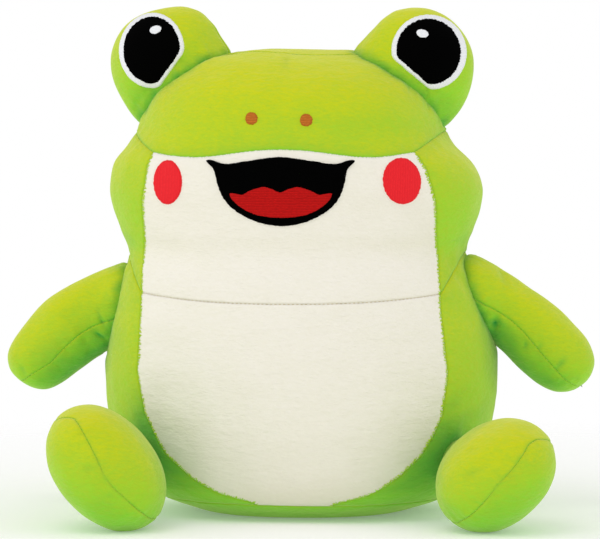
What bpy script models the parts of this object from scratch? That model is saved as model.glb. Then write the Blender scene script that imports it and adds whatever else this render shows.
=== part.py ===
"""A sitting plush frog: sewn fabric panels over separate stuffed forms, with an embroidered face.

Metres, Z up. The frog faces -Y and sits on Z = 0, with the middle of its seat at the origin.
Left and right are as seen from its front.
"""

import math

import bmesh
import bpy
import numpy as np
from mathutils import Matrix, Vector

# Fabric and thread
FABRIC_THICKNESS = 0.0015
EMBROIDERY_THICKNESS = 0.0008
SEWN_GAP = 0.0003

# Body, from the floor to the neck
BODY_HEIGHT = 0.147
BODY_HALF_WIDTH = 0.1115
BODY_FRONT_DEPTH = 0.095
BODY_BACK_DEPTH = 0.078

# Head, from the neck to the crown
HEAD_HEIGHT = 0.117
HEAD_HALF_WIDTH = 0.1065
HEAD_FRONT_DEPTH = 0.087
HEAD_BACK_DEPTH = 0.079

# Outlines of body and head: height, half width, front depth and back depth, as shares of the above
BODY_SHARES = (
    (0.0, 0.24, 0.28, 0.28),
    (0.0, 0.47, 0.55, 0.52),
    (0.026, 0.61, 0.70, 0.66),
    (0.066, 0.75, 0.83, 0.80),
    (0.13, 0.86, 0.92, 0.90),
    (0.224, 0.935, 0.97, 0.96),
    (0.36, 0.98, 1.0, 0.99),
    (0.53, 1.0, 1.0, 1.0),
    (0.69, 0.985, 0.98, 0.99),
    (0.855, 0.93, 0.94, 0.97),
)
HEAD_SHARES = (
    (0.0, 0.905, 0.955, 0.95),
    (0.11, 0.945, 0.975, 0.97),
    (0.22, 0.985, 0.99, 0.99),
    (0.32, 1.0, 1.0, 1.0),
    (0.43, 0.96, 1.0, 1.0),
    (0.52, 0.875, 0.985, 0.99),
    (0.59, 0.825, 0.97, 0.98),
    (0.68, 0.81, 0.94, 0.95),
    (0.77, 0.79, 0.87, 0.87),
    (0.85, 0.715, 0.75, 0.74),
    (0.92, 0.585, 0.58, 0.56),
    (0.966, 0.38, 0.37, 0.35),
    (0.99, 0.17, 0.16, 0.15),
)
SECTION_ROUNDNESS = 2.3

# Heights on the body as shares of its height, and on the head as shares of its height above the neck
BELLY_SEAM_SHARE = 0.878
ARM_ROOT_SHARE = 0.80
BROW_SEAM_SHARE = 0.487
CROWN_SEAM_SHARE = 0.962
MOUND_SHARE = 0.936
NOSTRIL_SHARE = 0.648
BLUSH_SHARE = 0.353
MOUTH_BOTTOM_SHARE = 0.147

# Seams of the torso
SEAT_EDGE_HEIGHT = 0.0095
BELLY_SEAM_HEIGHT = BODY_HEIGHT * BELLY_SEAM_SHARE
BELLY_SEAM_SAG = 0.008
BELLY_SEAM_SIDE_RISE = 0.019
BROW_SEAM_HEIGHT = BODY_HEIGHT + HEAD_HEIGHT * BROW_SEAM_SHARE
BROW_SEAM_ARCH = 0.0028
BROW_SEAM_ARCH_TURN = math.radians(288)
BROW_SEAM_SIDE_RISE = 0.007
CROWN_SEAM_HEIGHT = BODY_HEIGHT + HEAD_HEIGHT * CROWN_SEAM_SHARE
SIDE_SEAM_ANGLE = math.radians(96)
TORSO_LEAN = math.radians(1.5)
WHITE_WIDTH_SHARE = 0.771
WHITE_EDGE_LIMIT_SHARE = 0.88

# Edge of the white panels: height as a share of the seated height, half width as a share of its widest
WHITE_EDGE_SHARES = (
    (0.0405, 0.25),
    (0.0614, 0.473),
    (0.082, 0.595),
    (0.103, 0.686),
    (0.145, 0.82),
    (0.187, 0.90),
    (0.229, 0.96),
    (0.32, 1.0),
    (0.40, 0.98),
    (0.557, 0.957),
    (0.674, 0.949),
    (0.74, 0.90),
    (0.777, 0.845),
)

# Eye mounds, each an egg-shaped bag on a corner of the head
MOUND_OFFSET_SHARE = 0.671
MOUND_OFFSET = HEAD_HALF_WIDTH * MOUND_OFFSET_SHARE
MOUND_FORWARD = 0.008
MOUND_HEIGHT = BODY_HEIGHT + HEAD_HEIGHT * MOUND_SHARE
MOUND_HALF_WIDTH = 0.0322
MOUND_UPPER_HEIGHT = 0.031
MOUND_LOWER_HEIGHT = 0.039
MOUND_HALF_DEPTH = 0.031
MOUND_LOWER_DEPTH_SHARE = 0.55
MOUND_TURN = math.radians(14)
MOUND_SEAM_SHARE = 0.54

# Embroidered eyes
EYE_OUTWARD = 0.006
EYE_RAISE = 0.006
EYE_OFFSET = MOUND_OFFSET + EYE_OUTWARD
EYE_HEIGHT = MOUND_HEIGHT + EYE_RAISE
EYE_HALF_WIDTH = 0.0188
EYE_HALF_HEIGHT = 0.021
EYE_CHORD = 0.0149
PUPIL_HALF_WIDTH = 0.0154
PUPIL_HALF_HEIGHT = 0.0177
PUPIL_CHORD = 0.0110
EYE_CHORD_ANGLE = math.radians(-135)
HIGHLIGHT_INWARD = 0.0026
HIGHLIGHT_RAISE = 0.0101
HIGHLIGHT_HALF_WIDTH = 0.0040
HIGHLIGHT_HALF_HEIGHT = 0.0023

# Embroidered nostrils and blushes
NOSTRIL_OFFSET = 0.0149
NOSTRIL_HEIGHT = BODY_HEIGHT + HEAD_HEIGHT * NOSTRIL_SHARE
NOSTRIL_RADIUS = 0.0035
BLUSH_OFFSET = 0.065
BLUSH_HEIGHT = BODY_HEIGHT + HEAD_HEIGHT * BLUSH_SHARE
BLUSH_HALF_WIDTH = 0.0089
BLUSH_HALF_HEIGHT = 0.0120

# Embroidered mouth, whose outline and tongue are shares of its half width and height
MOUTH_BOTTOM = BODY_HEIGHT + HEAD_HEIGHT * MOUTH_BOTTOM_SHARE
MOUTH_HALF_WIDTH = 0.0425
MOUTH_OFFSET = -0.0022
MOUTH_HEIGHT = 0.0378
MOUTH_SHARES = (
    (0.0, 0.0),
    (0.24, 0.03),
    (0.48, 0.13),
    (0.66, 0.26),
    (0.775, 0.41),
    (0.84, 0.58),
    (0.87, 0.72),
    (0.90, 0.84),
    (1.0, 0.94),
    (0.91, 0.955),
    (0.72, 0.895),
    (0.42, 0.945),
    (0.0, 1.0),
)
TONGUE_SHARES = (
    (0.0, 0.095),
    (0.27, 0.12),
    (0.47, 0.205),
    (0.63, 0.33),
    (0.70, 0.465),
    (0.53, 0.445),
    (0.42, 0.51),
    (0.25, 0.57),
    (0.12, 0.545),
    (0.0, 0.495),
)

# Arms: a round root turns in a hollow of the body, about an axis that runs fore and aft
ARM_OFFSET_SHARE = 0.965
ARM_ROOT_OFFSET = BODY_HALF_WIDTH * ARM_OFFSET_SHARE
ARM_ROOT_FORWARD = 0.006
ARM_ROOT_HEIGHT = BODY_HEIGHT * ARM_ROOT_SHARE
ARM_DROP_LEFT = math.radians(30)
ARM_DROP_RIGHT = math.radians(35)
ARM_DROOP = math.radians(18)
ARM_LENGTH_LEFT = 0.069
ARM_LENGTH_RIGHT = 0.072
ARM_ROOT_RADIUS = 0.0203
ARM_ROOT_HALF_DEPTH = 0.0185
ARM_HALF_HEIGHT = 0.0222
ARM_HALF_DEPTH = 0.0215
ARM_SHARES = (
    (0.0, 0.0),
    (0.2, 0.3),
    (0.42, 0.8),
    (0.6, 1.0),
    (0.77, 0.98),
    (0.9, 0.80),
    (0.97, 0.48),
    (1.0, 0.14),
)
ARM_SEAM_ANGLES = (math.radians(88), math.radians(128))
ARM_TURNS = (math.radians(-6), 0, math.radians(15), math.radians(30))

# Legs: a round root turns in a hollow of the body, about an axis that runs across
LEG_OFFSET_SHARE = 0.78
LEG_FORWARD_SHARE = 0.747
LEG_ROOT_OFFSET = BODY_HALF_WIDTH * LEG_OFFSET_SHARE
LEG_ROOT_FORWARD = BODY_FRONT_DEPTH * LEG_FORWARD_SHARE
LEG_ROOT_HEIGHT = 0.037
LEG_SPLAY_LEFT = math.radians(22)
LEG_SPLAY_RIGHT = math.radians(34)
LEG_TURN_IN_LEFT = math.radians(26)
LEG_TURN_IN_RIGHT = math.radians(18)
LEG_DROP_LEFT = math.radians(2)
LEG_DROP_RIGHT = math.radians(5)
LEG_ROLL_LEFT = math.radians(36)
LEG_ROLL_RIGHT = math.radians(52)
LEG_LENGTH = 0.079
LEG_ROOT_RADIUS = 0.0205
LEG_HALF_HEIGHT = 0.0375
LEG_HALF_WIDTH = 0.0318
LEG_SHARES = (
    (0.0, 0.0),
    (0.18, 0.3),
    (0.4, 0.85),
    (0.58, 1.0),
    (0.76, 0.93),
    (0.89, 0.72),
    (0.965, 0.42),
    (1.0, 0.14),
)
LEG_TURNS = (0, math.radians(10), math.radians(20))

# Counts of faces
TORSO_COLUMNS = (5, 4, 5)
TORSO_ROWS = (1, 2, 8, 2, 5, 5, 1)
MOUND_COLUMNS = 14
MOUND_ROWS = 8
LIMB_COLUMNS = 14
ROOT_ANGLES = tuple(math.radians(angle) for angle in (22, 45, 68))
PROFILE_STEPS = 24
BALL_SEGMENTS = 20
ARM_HOLLOW_RINGS = (4, 2, 2, 2)
LEG_HOLLOW_RINGS = (2, 2, 2)

# Finishes: colour, roughness
FINISHES = {
    "velboa_green": ((0.45, 0.60, 0.03, 1.0), 0.9),
    "velboa_white": ((0.86, 0.82, 0.76, 1.0), 0.9),
    "fibre_fill": ((0.85, 0.85, 0.83, 1.0), 1.0),
    "thread_black": ((0.004, 0.004, 0.004, 1.0), 0.5),
    "thread_white": ((0.9, 0.9, 0.9, 1.0), 0.5),
    "thread_red": ((0.62, 0.02, 0.03, 1.0), 0.5),
    "thread_brown": ((0.45, 0.14, 0.03, 1.0), 0.5),
}

SIDES = {"left": -1, "right": 1}
UP = Vector((0, 0, 1))


# Smooth profiles


def smooth_through(points):
    """Points along a smooth curve through the given rows of numbers."""
    rows = np.array(points, float)
    ends = np.vstack([2 * rows[0] - rows[1], rows, 2 * rows[-1] - rows[-2]])
    curve = []
    for before, here, there, after in zip(ends, ends[1:], ends[2:], ends[3:]):
        for step in np.linspace(0, 1, PROFILE_STEPS, endpoint=False):
            straight = (there - before) * step
            square = (2 * before - 5 * here + 4 * there - after) * step**2
            cube = (3 * here - before - 3 * there + after) * step**3
            curve.append((2 * here + straight + square + cube) / 2)
    curve.append(rows[-1])
    return np.array(curve)


class Profile:
    """An upright outline, read by the length along it from the bottom."""

    def __init__(self, stations):
        self.table = smooth_through(stations)
        steps = np.diff(self.table[:, :2], axis=0)
        self.lengths = np.concatenate([[0], np.cumsum(np.hypot(steps[:, 0], steps[:, 1]))])

    def at(self, length):
        return [np.interp(length, self.lengths, column) for column in self.table.T]

    def length_at(self, height):
        return np.interp(height, self.table[:, 0], self.lengths)


def torso_profile():
    sizes = (BODY_HEIGHT, BODY_HALF_WIDTH, BODY_FRONT_DEPTH, BODY_BACK_DEPTH)
    body = [[share * size for share, size in zip(row, sizes)] for row in BODY_SHARES]
    sizes = (HEAD_HEIGHT, HEAD_HALF_WIDTH, HEAD_FRONT_DEPTH, HEAD_BACK_DEPTH)
    head = [[share * size for share, size in zip(row, sizes)] for row in HEAD_SHARES]
    for row in head:
        row[0] += BODY_HEIGHT
    return Profile(body + head)


def leaned(point):
    """A place on the torso after it leans a little to the left, with its seat still flat."""
    x, y, z = point
    return Vector((x - z * math.tan(TORSO_LEAN), y, z))


# Forms: rings of points with outward normals, and a panel's name for each cell


class Form:
    """Rings of points from one end to the other. Layers of fabric and filling share its cells."""

    def __init__(self, points, labels, end_labels):
        self.points = points
        self.labels = labels
        self.end_labels = end_labels
        around = np.roll(points, -1, axis=1) - np.roll(points, 1, axis=1)
        along = np.gradient(points, axis=0)
        normals = np.cross(around, along)
        self.normals = normals / np.linalg.norm(normals, axis=2, keepdims=True)

    def layer(self, offset):
        """The rings moved out by an offset, and kept clear of the floor by its depth."""
        points = self.points + self.normals * offset
        points[:, :, 2] = np.maximum(points[:, :, 2], -offset)
        return points

    def leaned(self):
        """The same form after the torso's slight lean to one side."""
        return Form(np.array([[leaned(point) for point in ring] for ring in self.points]), self.labels,
                    self.end_labels)

    def mirrored(self):
        """The same form on the frog's other side."""
        columns = self.points.shape[1]
        cells = [(columns - 2 - cell) % columns for cell in range(columns)]
        points = self.points[:, ::-1] * np.array((-1, 1, 1))
        return Form(points, self.labels[:, cells], self.end_labels)


def cell_faces(form, label):
    """Corner keys of each face of a panel, anticlockwise from outside. A label of None takes them all."""
    rings, columns = form.points.shape[:2]
    faces = []
    for ring in range(rings - 1):
        for column in range(columns):
            if label is None or form.labels[ring, column] == label:
                after = (column + 1) % columns
                faces.append(((ring, column), (ring, after), (ring + 1, after)))
                faces.append(((ring, column), (ring + 1, after), (ring + 1, column)))
    for end, ring in enumerate((0, rings - 1)):
        if label is None or form.end_labels[end] == label:
            for column in range(columns):
                pair = ((ring, column), (ring, (column + 1) % columns))
                faces.append((("end", ring), *(pair if end else pair[::-1])))
    return faces


def layer_places(form, offset):
    """The place of each corner key at an offset, with the middle of both ends."""
    layer = form.layer(offset)
    places = {corner: Vector(layer[corner]) for corner in np.ndindex(layer.shape[:2])}
    for ring in (0, len(layer) - 1):
        places["end", ring] = Vector(layer[ring].mean(axis=0))
    return places


def seam_insets(form, faces):
    """How far each corner on a panel's edge is drawn in, so that panels meet with a small gap."""
    sides = {(a, b) for face in faces for a, b in zip(face, face[1:] + face[:1])}
    edges = [side for side in sides if side[::-1] not in sides]
    places = layer_places(form, 0)
    insets = {}
    for corner in {corner for edge in edges for corner in edge}:
        beside = [face for face in faces if corner in face]
        centres = [sum((places[key] for key in face), Vector()) / len(face) for face in beside]
        inward = sum(centres, Vector()) / len(centres) - places[corner]
        insets[corner] = inward.normalized() * SEWN_GAP
    return edges, insets


def panel_mesh(name, form, label, outer, inner):
    """A closed sheet between two offsets, over the cells with one label."""
    faces = cell_faces(form, label)
    edges, insets = seam_insets(form, faces)
    keys = sorted({corner for face in faces for corner in face}, key=str)
    index = {key: number for number, key in enumerate(keys)}
    count = len(keys)
    points = []
    for offset in (outer, inner):
        places = layer_places(form, offset)
        points += [places[key] + insets.get(key, Vector()) for key in keys]
    triangles = [[index[key] for key in face] for face in faces]
    triangles += [[index[key] + count for key in reversed(face)] for face in faces]
    for start, end in edges:
        first, second = index[start], index[end]
        triangles.append((second, first, first + count))
        triangles.append((second, first + count, second + count))
    return new_mesh(name, points, triangles)


def filling_mesh(name, form, offset, first=0, last=None, lift=0):
    """A closed solid over a run of rings, whose first end can be lifted off what it rests on."""
    last = form.points.shape[0] - 1 if last is None else last
    part = Form(form.points[first:last + 1], form.labels[first:last], form.end_labels)
    part.normals = form.normals[first:last + 1]
    faces = cell_faces(part, None)
    places = layer_places(part, offset)
    for key in places:
        if key == ("end", 0) or key[0] == 0:
            places[key].z += lift
    keys = list(places)
    index = {key: number for number, key in enumerate(keys)}
    return new_mesh(name, [places[key] for key in keys], [[index[key] for key in face] for face in faces])


# Objects


def new_mesh(name, points, faces):
    mesh = bpy.data.meshes.new(name)
    mesh.from_pydata([tuple(point) for point in points], [], faces)
    mesh.validate()
    return mesh


def finish(slot):
    """The material of one finish, made once."""
    material = bpy.data.materials.get(slot)
    if material is None:
        colour, roughness = FINISHES[slot]
        material = bpy.data.materials.new(slot)
        material.use_nodes = True
        shader = material.node_tree.nodes["Principled BSDF"]
        shader.inputs["Base Color"].default_value = colour
        shader.inputs["Roughness"].default_value = roughness
        shader.inputs["Metallic"].default_value = 0
        material.diffuse_color = colour
    return material


def add_piece(mesh, slot, pivot=None):
    """A named piece with its own finish. A pivot is the empty that it turns about."""
    mesh.materials.append(finish(slot))
    piece = bpy.data.objects.new(mesh.name, mesh)
    bpy.context.collection.objects.link(piece)
    if pivot is not None:
        for vertex in mesh.vertices:
            vertex.co -= pivot.location
        piece.parent = pivot
    return piece


def add_cutter(mesh):
    cutter = bpy.data.objects.new(mesh.name, mesh)
    bpy.context.collection.objects.link(cutter)
    cutter.hide_render = True
    cutter.display_type = "WIRE"
    return cutter


def shape_by(piece, cutter, operation):
    """Cuts a piece away from a cutter, or keeps only what lies inside it."""
    boolean = piece.modifiers.new(cutter.name, "BOOLEAN")
    boolean.operation = operation
    boolean.solver = "EXACT"
    boolean.object = cutter


# Torso


def white_edge_angle(height, half_width):
    """The angle round the section where the white panels end at this height."""
    shares = np.array(WHITE_EDGE_SHARES)
    share = np.interp(height, shares[:, 0] * (BODY_HEIGHT + HEAD_HEIGHT), shares[:, 1])
    offset = share * BODY_HALF_WIDTH * WHITE_WIDTH_SHARE
    return math.asin(min(offset / half_width, WHITE_EDGE_LIMIT_SHARE) ** (SECTION_ROUNDNESS / 2))


def column_angles(white_angle):
    """Angles of the columns round the section, from the front by the right side to the back and on."""
    front, side, back = TORSO_COLUMNS
    seams = np.cumsum((0, front, side, back))
    half = np.interp(range(seams[-1] + 1), seams, (0, white_angle, SIDE_SEAM_ANGLE, math.pi))
    return np.concatenate([half, -half[-2:0:-1]])


def torso_point(profile, length, angle):
    height, half_width, front, back = profile.at(length)
    across, along = math.sin(angle), math.cos(angle)
    depth = front if along > 0 else back
    power = 2 / SECTION_ROUNDNESS
    x = half_width * math.copysign(abs(across) ** power, across)
    y = -depth * math.copysign(abs(along) ** power, along)
    return x, y, max(height, 0)


def seam_shift(length, keys, angle, white_angle):
    """How far the rows sag or rise along the profile, so that they follow the seams."""
    frontal = max(math.cos(angle), 0) ** 2
    start = math.sin(white_angle)
    sideways = max(abs(math.sin(angle)) - start, 0) / (1 - start)
    behind = sideways if math.cos(angle) > 0 else 1
    belly = np.interp(length, (keys["seat_edge"], keys["belly"], keys["brow"]), (0, 1, 0))
    brow = np.interp(length, (keys["belly"], keys["brow"], keys["crown"]), (0, 1, 0))
    across = min(abs(math.sin(angle)) / start, 1) if math.cos(angle) > 0 else 1
    rise = BROW_SEAM_SIDE_RISE * sideways + BROW_SEAM_ARCH * math.cos(BROW_SEAM_ARCH_TURN * across)
    return brow * rise + belly * (BELLY_SEAM_SIDE_RISE * behind - BELLY_SEAM_SAG * frontal)


def torso_form():
    """Body and head as one form. Its rows and columns follow the seams."""
    profile = torso_profile()
    heights = (SEAT_EDGE_HEIGHT, BELLY_SEAM_HEIGHT, BODY_HEIGHT, BROW_SEAM_HEIGHT, CROWN_SEAM_HEIGHT)
    seat_length = profile.lengths[PROFILE_STEPS]
    seams = [0, seat_length, *(profile.length_at(height) for height in heights), profile.lengths[-1]]
    keys = dict(zip(("end", "seat", "seat_edge", "belly", "neck", "brow", "crown", "top"), seams))
    key_rows = np.cumsum((0, *TORSO_ROWS))
    lengths = np.interp(range(key_rows[-1] + 1), key_rows, seams)
    points = []
    for length in lengths:
        height, half_width = profile.at(length)[:2]
        white = white_edge_angle(height, half_width)
        ring = []
        for angle in column_angles(white):
            ring.append(torso_point(profile, length + seam_shift(length, keys, angle, white), angle))
        points.append(ring)
    rows = dict(zip(keys, (int(row) for row in key_rows)))
    labels = torso_labels(rows)
    return Form(np.array(points), labels, ("seat_panel", "head_back_panel")).leaned(), rows


def torso_labels(rows):
    """The panel that each cell of the torso belongs to."""
    front, side, back = TORSO_COLUMNS
    columns = 2 * (front + side + back)
    labels = np.empty((rows["top"], columns), dtype=object)
    for row in range(rows["top"]):
        for column in range(columns):
            place = min(column, columns - 1 - column)
            hand = "right" if column < columns / 2 else "left"
            zone = "front" if place < front else "side" if place < front + side else "back"
            labels[row, column] = torso_panel(row, rows, zone, hand)
    return labels


def torso_panel(row, rows, zone, hand):
    if row < rows["seat_edge"]:
        return "seat_panel"
    if row < rows["belly"]:
        return {"front": "belly_panel", "side": f"side_panel_{hand}", "back": f"back_panel_{hand}"}[zone]
    if row >= rows["crown"] or zone == "back":
        return "head_back_panel"
    if row >= rows["brow"]:
        return "brow_panel"
    return {"front": "face_panel", "side": f"cheek_panel_{hand}"}[zone]


def add_torso(form, rows):
    """The panels of the torso and its two fillings, by name."""
    pieces = {}
    for label in dict.fromkeys(form.labels.flatten()):
        slot = "velboa_white" if label in ("belly_panel", "face_panel") else "velboa_green"
        pieces[label] = add_piece(panel_mesh(label, form, label, 0, -FABRIC_THICKNESS), slot)
    depth = FABRIC_THICKNESS + SEWN_GAP
    neck = rows["neck"]
    body = filling_mesh("body_stuffing", form, -depth, 0, neck)
    head = filling_mesh("head_stuffing", form, -depth, neck, None, SEWN_GAP)
    pieces["body_stuffing"] = add_piece(body, "fibre_fill")
    pieces["head_stuffing"] = add_piece(head, "fibre_fill")
    return pieces


# Eye mounds


def mound_form():
    """The right eye mound, in rings from its front to its back."""
    facing = Vector((math.sin(MOUND_TURN), -math.cos(MOUND_TURN), 0))
    beside = facing.cross(UP)
    centre = Vector((MOUND_OFFSET, -MOUND_FORWARD, MOUND_HEIGHT))
    turns = np.linspace(math.pi, 0, MOUND_ROWS + 2)[1:-1]
    points = []
    for turn in turns:
        ring = []
        for angle in np.linspace(0, 2 * math.pi, MOUND_COLUMNS, endpoint=False):
            lift = math.cos(angle) * math.sin(turn)
            height = MOUND_UPPER_HEIGHT if lift > 0 else MOUND_LOWER_HEIGHT
            depth = MOUND_HALF_DEPTH * (1 - (1 - MOUND_LOWER_DEPTH_SHARE) * min(lift, 0) ** 2)
            across = beside * MOUND_HALF_WIDTH * math.sin(angle) * math.sin(turn)
            ring.append(centre + UP * height * lift + across + facing * depth * math.cos(turn))
        points.append(ring)
    rows = MOUND_ROWS - 1
    seam = round(rows * (1 - MOUND_SEAM_SHARE))
    labels = np.empty((rows, MOUND_COLUMNS), dtype=object)
    labels[:seam] = "rear"
    labels[seam:] = "front"
    return Form(np.array(points), labels, ("rear", "front"))


def add_mound(hand, form, head_cutter):
    depth = FABRIC_THICKNESS + SEWN_GAP
    for label in ("front", "rear"):
        mesh = panel_mesh(f"eye_mound_{hand}_{label}_panel", form, label, 0, -FABRIC_THICKNESS)
        shape_by(add_piece(mesh, "velboa_green"), head_cutter, "DIFFERENCE")
    stuffing = filling_mesh(f"eye_mound_{hand}_stuffing", form, -depth)
    shape_by(add_piece(stuffing, "fibre_fill"), head_cutter, "DIFFERENCE")


# Embroidery


def ellipse(centre, half_width, half_height, count, tilt=0):
    points = []
    for turn in np.linspace(0, 2 * math.pi, count, endpoint=False):
        x, z = half_width * math.cos(turn), half_height * math.sin(turn)
        points.append((centre[0] + x * math.cos(tilt) - z * math.sin(tilt),
                       centre[1] + x * math.sin(tilt) + z * math.cos(tilt)))
    return points


def chorded(points, centre, angle, distance):
    """An outline with the part beyond a straight chord pressed back onto it."""
    across, up = math.cos(angle), math.sin(angle)
    kept = []
    for x, z in points:
        beyond = max((x - centre[0]) * across + (z - centre[1]) * up - distance, 0)
        kept.append((x - beyond * across, z - beyond * up))
    return kept


def grown(points, amount):
    """An outline moved out by an amount, or in where it is negative."""
    moved = []
    for before, here, after in zip(points[-1:] + points[:-1], points, points[1:] + points[:1]):
        tangent = np.subtract(after, before)
        normal = np.array((tangent[1], -tangent[0])) / np.linalg.norm(tangent)
        moved.append(tuple(np.array(here) + normal * amount))
    return moved


def prism(name, outline, start):
    """A cutter through the front of the frog, from a start behind the stitching to well before it."""
    count = len(outline)
    reach = BODY_FRONT_DEPTH + HEAD_FRONT_DEPTH
    points = [leaned((x, -y, z)) for y in (start, reach) for x, z in outline]
    faces = [tuple(range(count))[::-1], tuple(range(count, 2 * count))]
    for corner in range(count):
        after = (corner + 1) % count
        faces.append((corner, after, after + count, corner + count))
    return add_cutter(new_mesh(name, points, faces))


def add_patch(name, slot, form, labels, start, outline, hole=None):
    """Raised stitching inside an outline, and outside a hole, that follows the fabric under it."""
    patch_form = Form(form.points, form.labels.copy(), form.end_labels)
    patch_form.labels[np.isin(form.labels, labels)] = "patch"
    patch_form.end_labels = tuple("patch" if label in labels else label for label in form.end_labels)
    mesh = panel_mesh(name, patch_form, "patch", SEWN_GAP + EMBROIDERY_THICKNESS, SEWN_GAP)
    piece = add_piece(mesh, slot)
    shape_by(piece, prism(f"{name}_outline", outline, start), "INTERSECT")
    if hole is not None:
        shape_by(piece, prism(f"{name}_hole", grown(hole, SEWN_GAP), start), "DIFFERENCE")


def add_eye(hand, side, form):
    centre = (side * EYE_OFFSET, EYE_HEIGHT)
    chord = EYE_CHORD_ANGLE if side > 0 else math.pi - EYE_CHORD_ANGLE
    rim = chorded(ellipse(centre, EYE_HALF_WIDTH, EYE_HALF_HEIGHT, 24), centre, chord, EYE_CHORD)
    pupil = chorded(ellipse(centre, PUPIL_HALF_WIDTH, PUPIL_HALF_HEIGHT, 24), centre, chord, PUPIL_CHORD)
    glint = (centre[0] - side * HIGHLIGHT_INWARD, centre[1] + HIGHLIGHT_RAISE)
    highlight = ellipse(glint, HIGHLIGHT_HALF_WIDTH, HIGHLIGHT_HALF_HEIGHT, 10, math.radians(20))
    start = MOUND_FORWARD
    add_patch(f"eye_rim_{hand}", "thread_white", form, ("front",), start, rim, pupil)
    add_patch(f"eye_pupil_{hand}", "thread_black", form, ("front",), start, pupil, highlight)
    add_patch(f"eye_highlight_{hand}", "thread_white", form, ("front",), start, highlight)


def mouth_outline(shares):
    """A closed outline from its right half, as shares of the mouth's size."""
    half = [(x * MOUTH_HALF_WIDTH, MOUTH_BOTTOM + z * MOUTH_HEIGHT) for x, z in shares]
    other_half = [(-x, z) for x, z in reversed(half[1:-1])]
    return [(x + MOUTH_OFFSET, z) for x, z in half + other_half]


def add_face(form):
    """Nostrils, blushes, mouth and tongue on the front of the head."""
    face = ("face_panel",)
    mouth = mouth_outline(MOUTH_SHARES)
    tongue = mouth_outline(TONGUE_SHARES)
    add_patch("mouth", "thread_black", form, face, 0, mouth, tongue)
    add_patch("tongue", "thread_red", form, face, 0, tongue)
    for hand, side in SIDES.items():
        nostril = ellipse((side * NOSTRIL_OFFSET, NOSTRIL_HEIGHT), NOSTRIL_RADIUS, NOSTRIL_RADIUS, 10)
        add_patch(f"nostril_{hand}", "thread_brown", form, ("brow_panel",), 0, nostril)
        blush = ellipse((side * BLUSH_OFFSET, BLUSH_HEIGHT), BLUSH_HALF_WIDTH, BLUSH_HALF_HEIGHT, 18)
        add_patch(f"blush_{hand}", "thread_red", form, face, 0, blush)


# Limbs


def limb_rings(length, root_sizes, swell_sizes, shares):
    """Each ring's distance from the joint, half height, half width and place along the limb."""
    root_height, root_width = root_sizes
    half_height, half_width = swell_sizes
    rings = [(-root_height * math.cos(turn), root_height * math.sin(turn), root_width * math.sin(turn), 0)
             for turn in ROOT_ANGLES]
    for place, swell in shares:
        far = place > shares[3][0]
        height = half_height * swell if far else root_height + (half_height - root_height) * swell
        width = half_width * swell if far else root_width + (half_width - root_width) * swell
        rings.append((place * length, height, width, place))
    return rings


def limb_form(root, direction, roll, bend, rings, seams, names):
    """A limb as rings that turn steadily about the bend's axis, by its angle in all.

    Seams are the angles of both seams at each share of the limb's length.
    """
    up = (UP - direction * UP.dot(direction)).normalized()
    up = Matrix.Rotation(roll, 3, direction) @ up
    axis, angle_in_all = bend
    places, starts, ends = zip(*seams)
    half = LIMB_COLUMNS // 2
    points = []
    centre, last, reached = root.copy(), 0, 0
    for distance, height, width, place in rings:
        turned = Matrix.Rotation(angle_in_all * place, 3, axis)
        halfway = Matrix.Rotation(angle_in_all * (place + reached) / 2, 3, axis)
        way, top = turned @ direction, turned @ up
        if distance > 0:
            centre += halfway @ direction * (distance - last)
        middle = centre if distance > 0 else root + direction * distance
        last, reached = max(distance, 0), place
        start, end = np.interp(place, places, starts), np.interp(place, places, ends)
        angles = list(np.linspace(start, end, half, endpoint=False))
        angles += list(np.linspace(end, start + 2 * math.pi, half, endpoint=False))
        beside = way.cross(top)
        points.append([middle + top * height * math.cos(angle) + beside * width * math.sin(angle)
                       for angle in angles])
    labels = np.empty((len(rings) - 1, LIMB_COLUMNS), dtype=object)
    labels[:, :half] = names[0]
    labels[:, half:] = names[1]
    return Form(np.array(points), labels, names)


def arm_form(drop, length):
    root = Vector((ARM_ROOT_OFFSET, -ARM_ROOT_FORWARD, ARM_ROOT_HEIGHT))
    direction = Vector((math.cos(drop), 0, -math.sin(drop)))
    rings = limb_rings(length, (ARM_ROOT_RADIUS, ARM_ROOT_HALF_DEPTH), (ARM_HALF_HEIGHT, ARM_HALF_DEPTH),
                       ARM_SHARES)
    seams = [(place, -angle, angle) for place, angle in enumerate(ARM_SEAM_ANGLES)]
    bend = (Vector((0, 1, 0)), ARM_DROOP)
    return root, limb_form(root, direction, 0, bend, rings, seams, ("upper", "lower"))


def leg_form(splay, turn_in, drop, roll):
    root = Vector((LEG_ROOT_OFFSET, -LEG_ROOT_FORWARD, LEG_ROOT_HEIGHT))
    flat = math.cos(drop)
    direction = Vector((math.sin(splay) * flat, -math.cos(splay) * flat, -math.sin(drop)))
    rings = limb_rings(LEG_LENGTH, (LEG_ROOT_RADIUS, LEG_ROOT_RADIUS), (LEG_HALF_HEIGHT, LEG_HALF_WIDTH),
                       LEG_SHARES)
    seams = [(place, 0, math.pi) for place in (0, 1)]
    bend = (-UP, turn_in)
    return root, limb_form(root, direction, -roll, bend, rings, seams, ("inner", "outer"))


def ball_points(centre, sizes):
    """Points round a limb's root, far enough out that the faces between them clear it."""
    shape = bmesh.new()
    bmesh.ops.create_uvsphere(shape, u_segments=BALL_SEGMENTS, v_segments=BALL_SEGMENTS // 2, radius=1)
    facet = math.cos(math.pi / BALL_SEGMENTS)
    reach = [(size + SEWN_GAP) / facet for size in sizes]
    points = [centre + Vector(a * b for a, b in zip(vertex.co, reach)) for vertex in shape.verts]
    shape.free()
    return points


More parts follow.
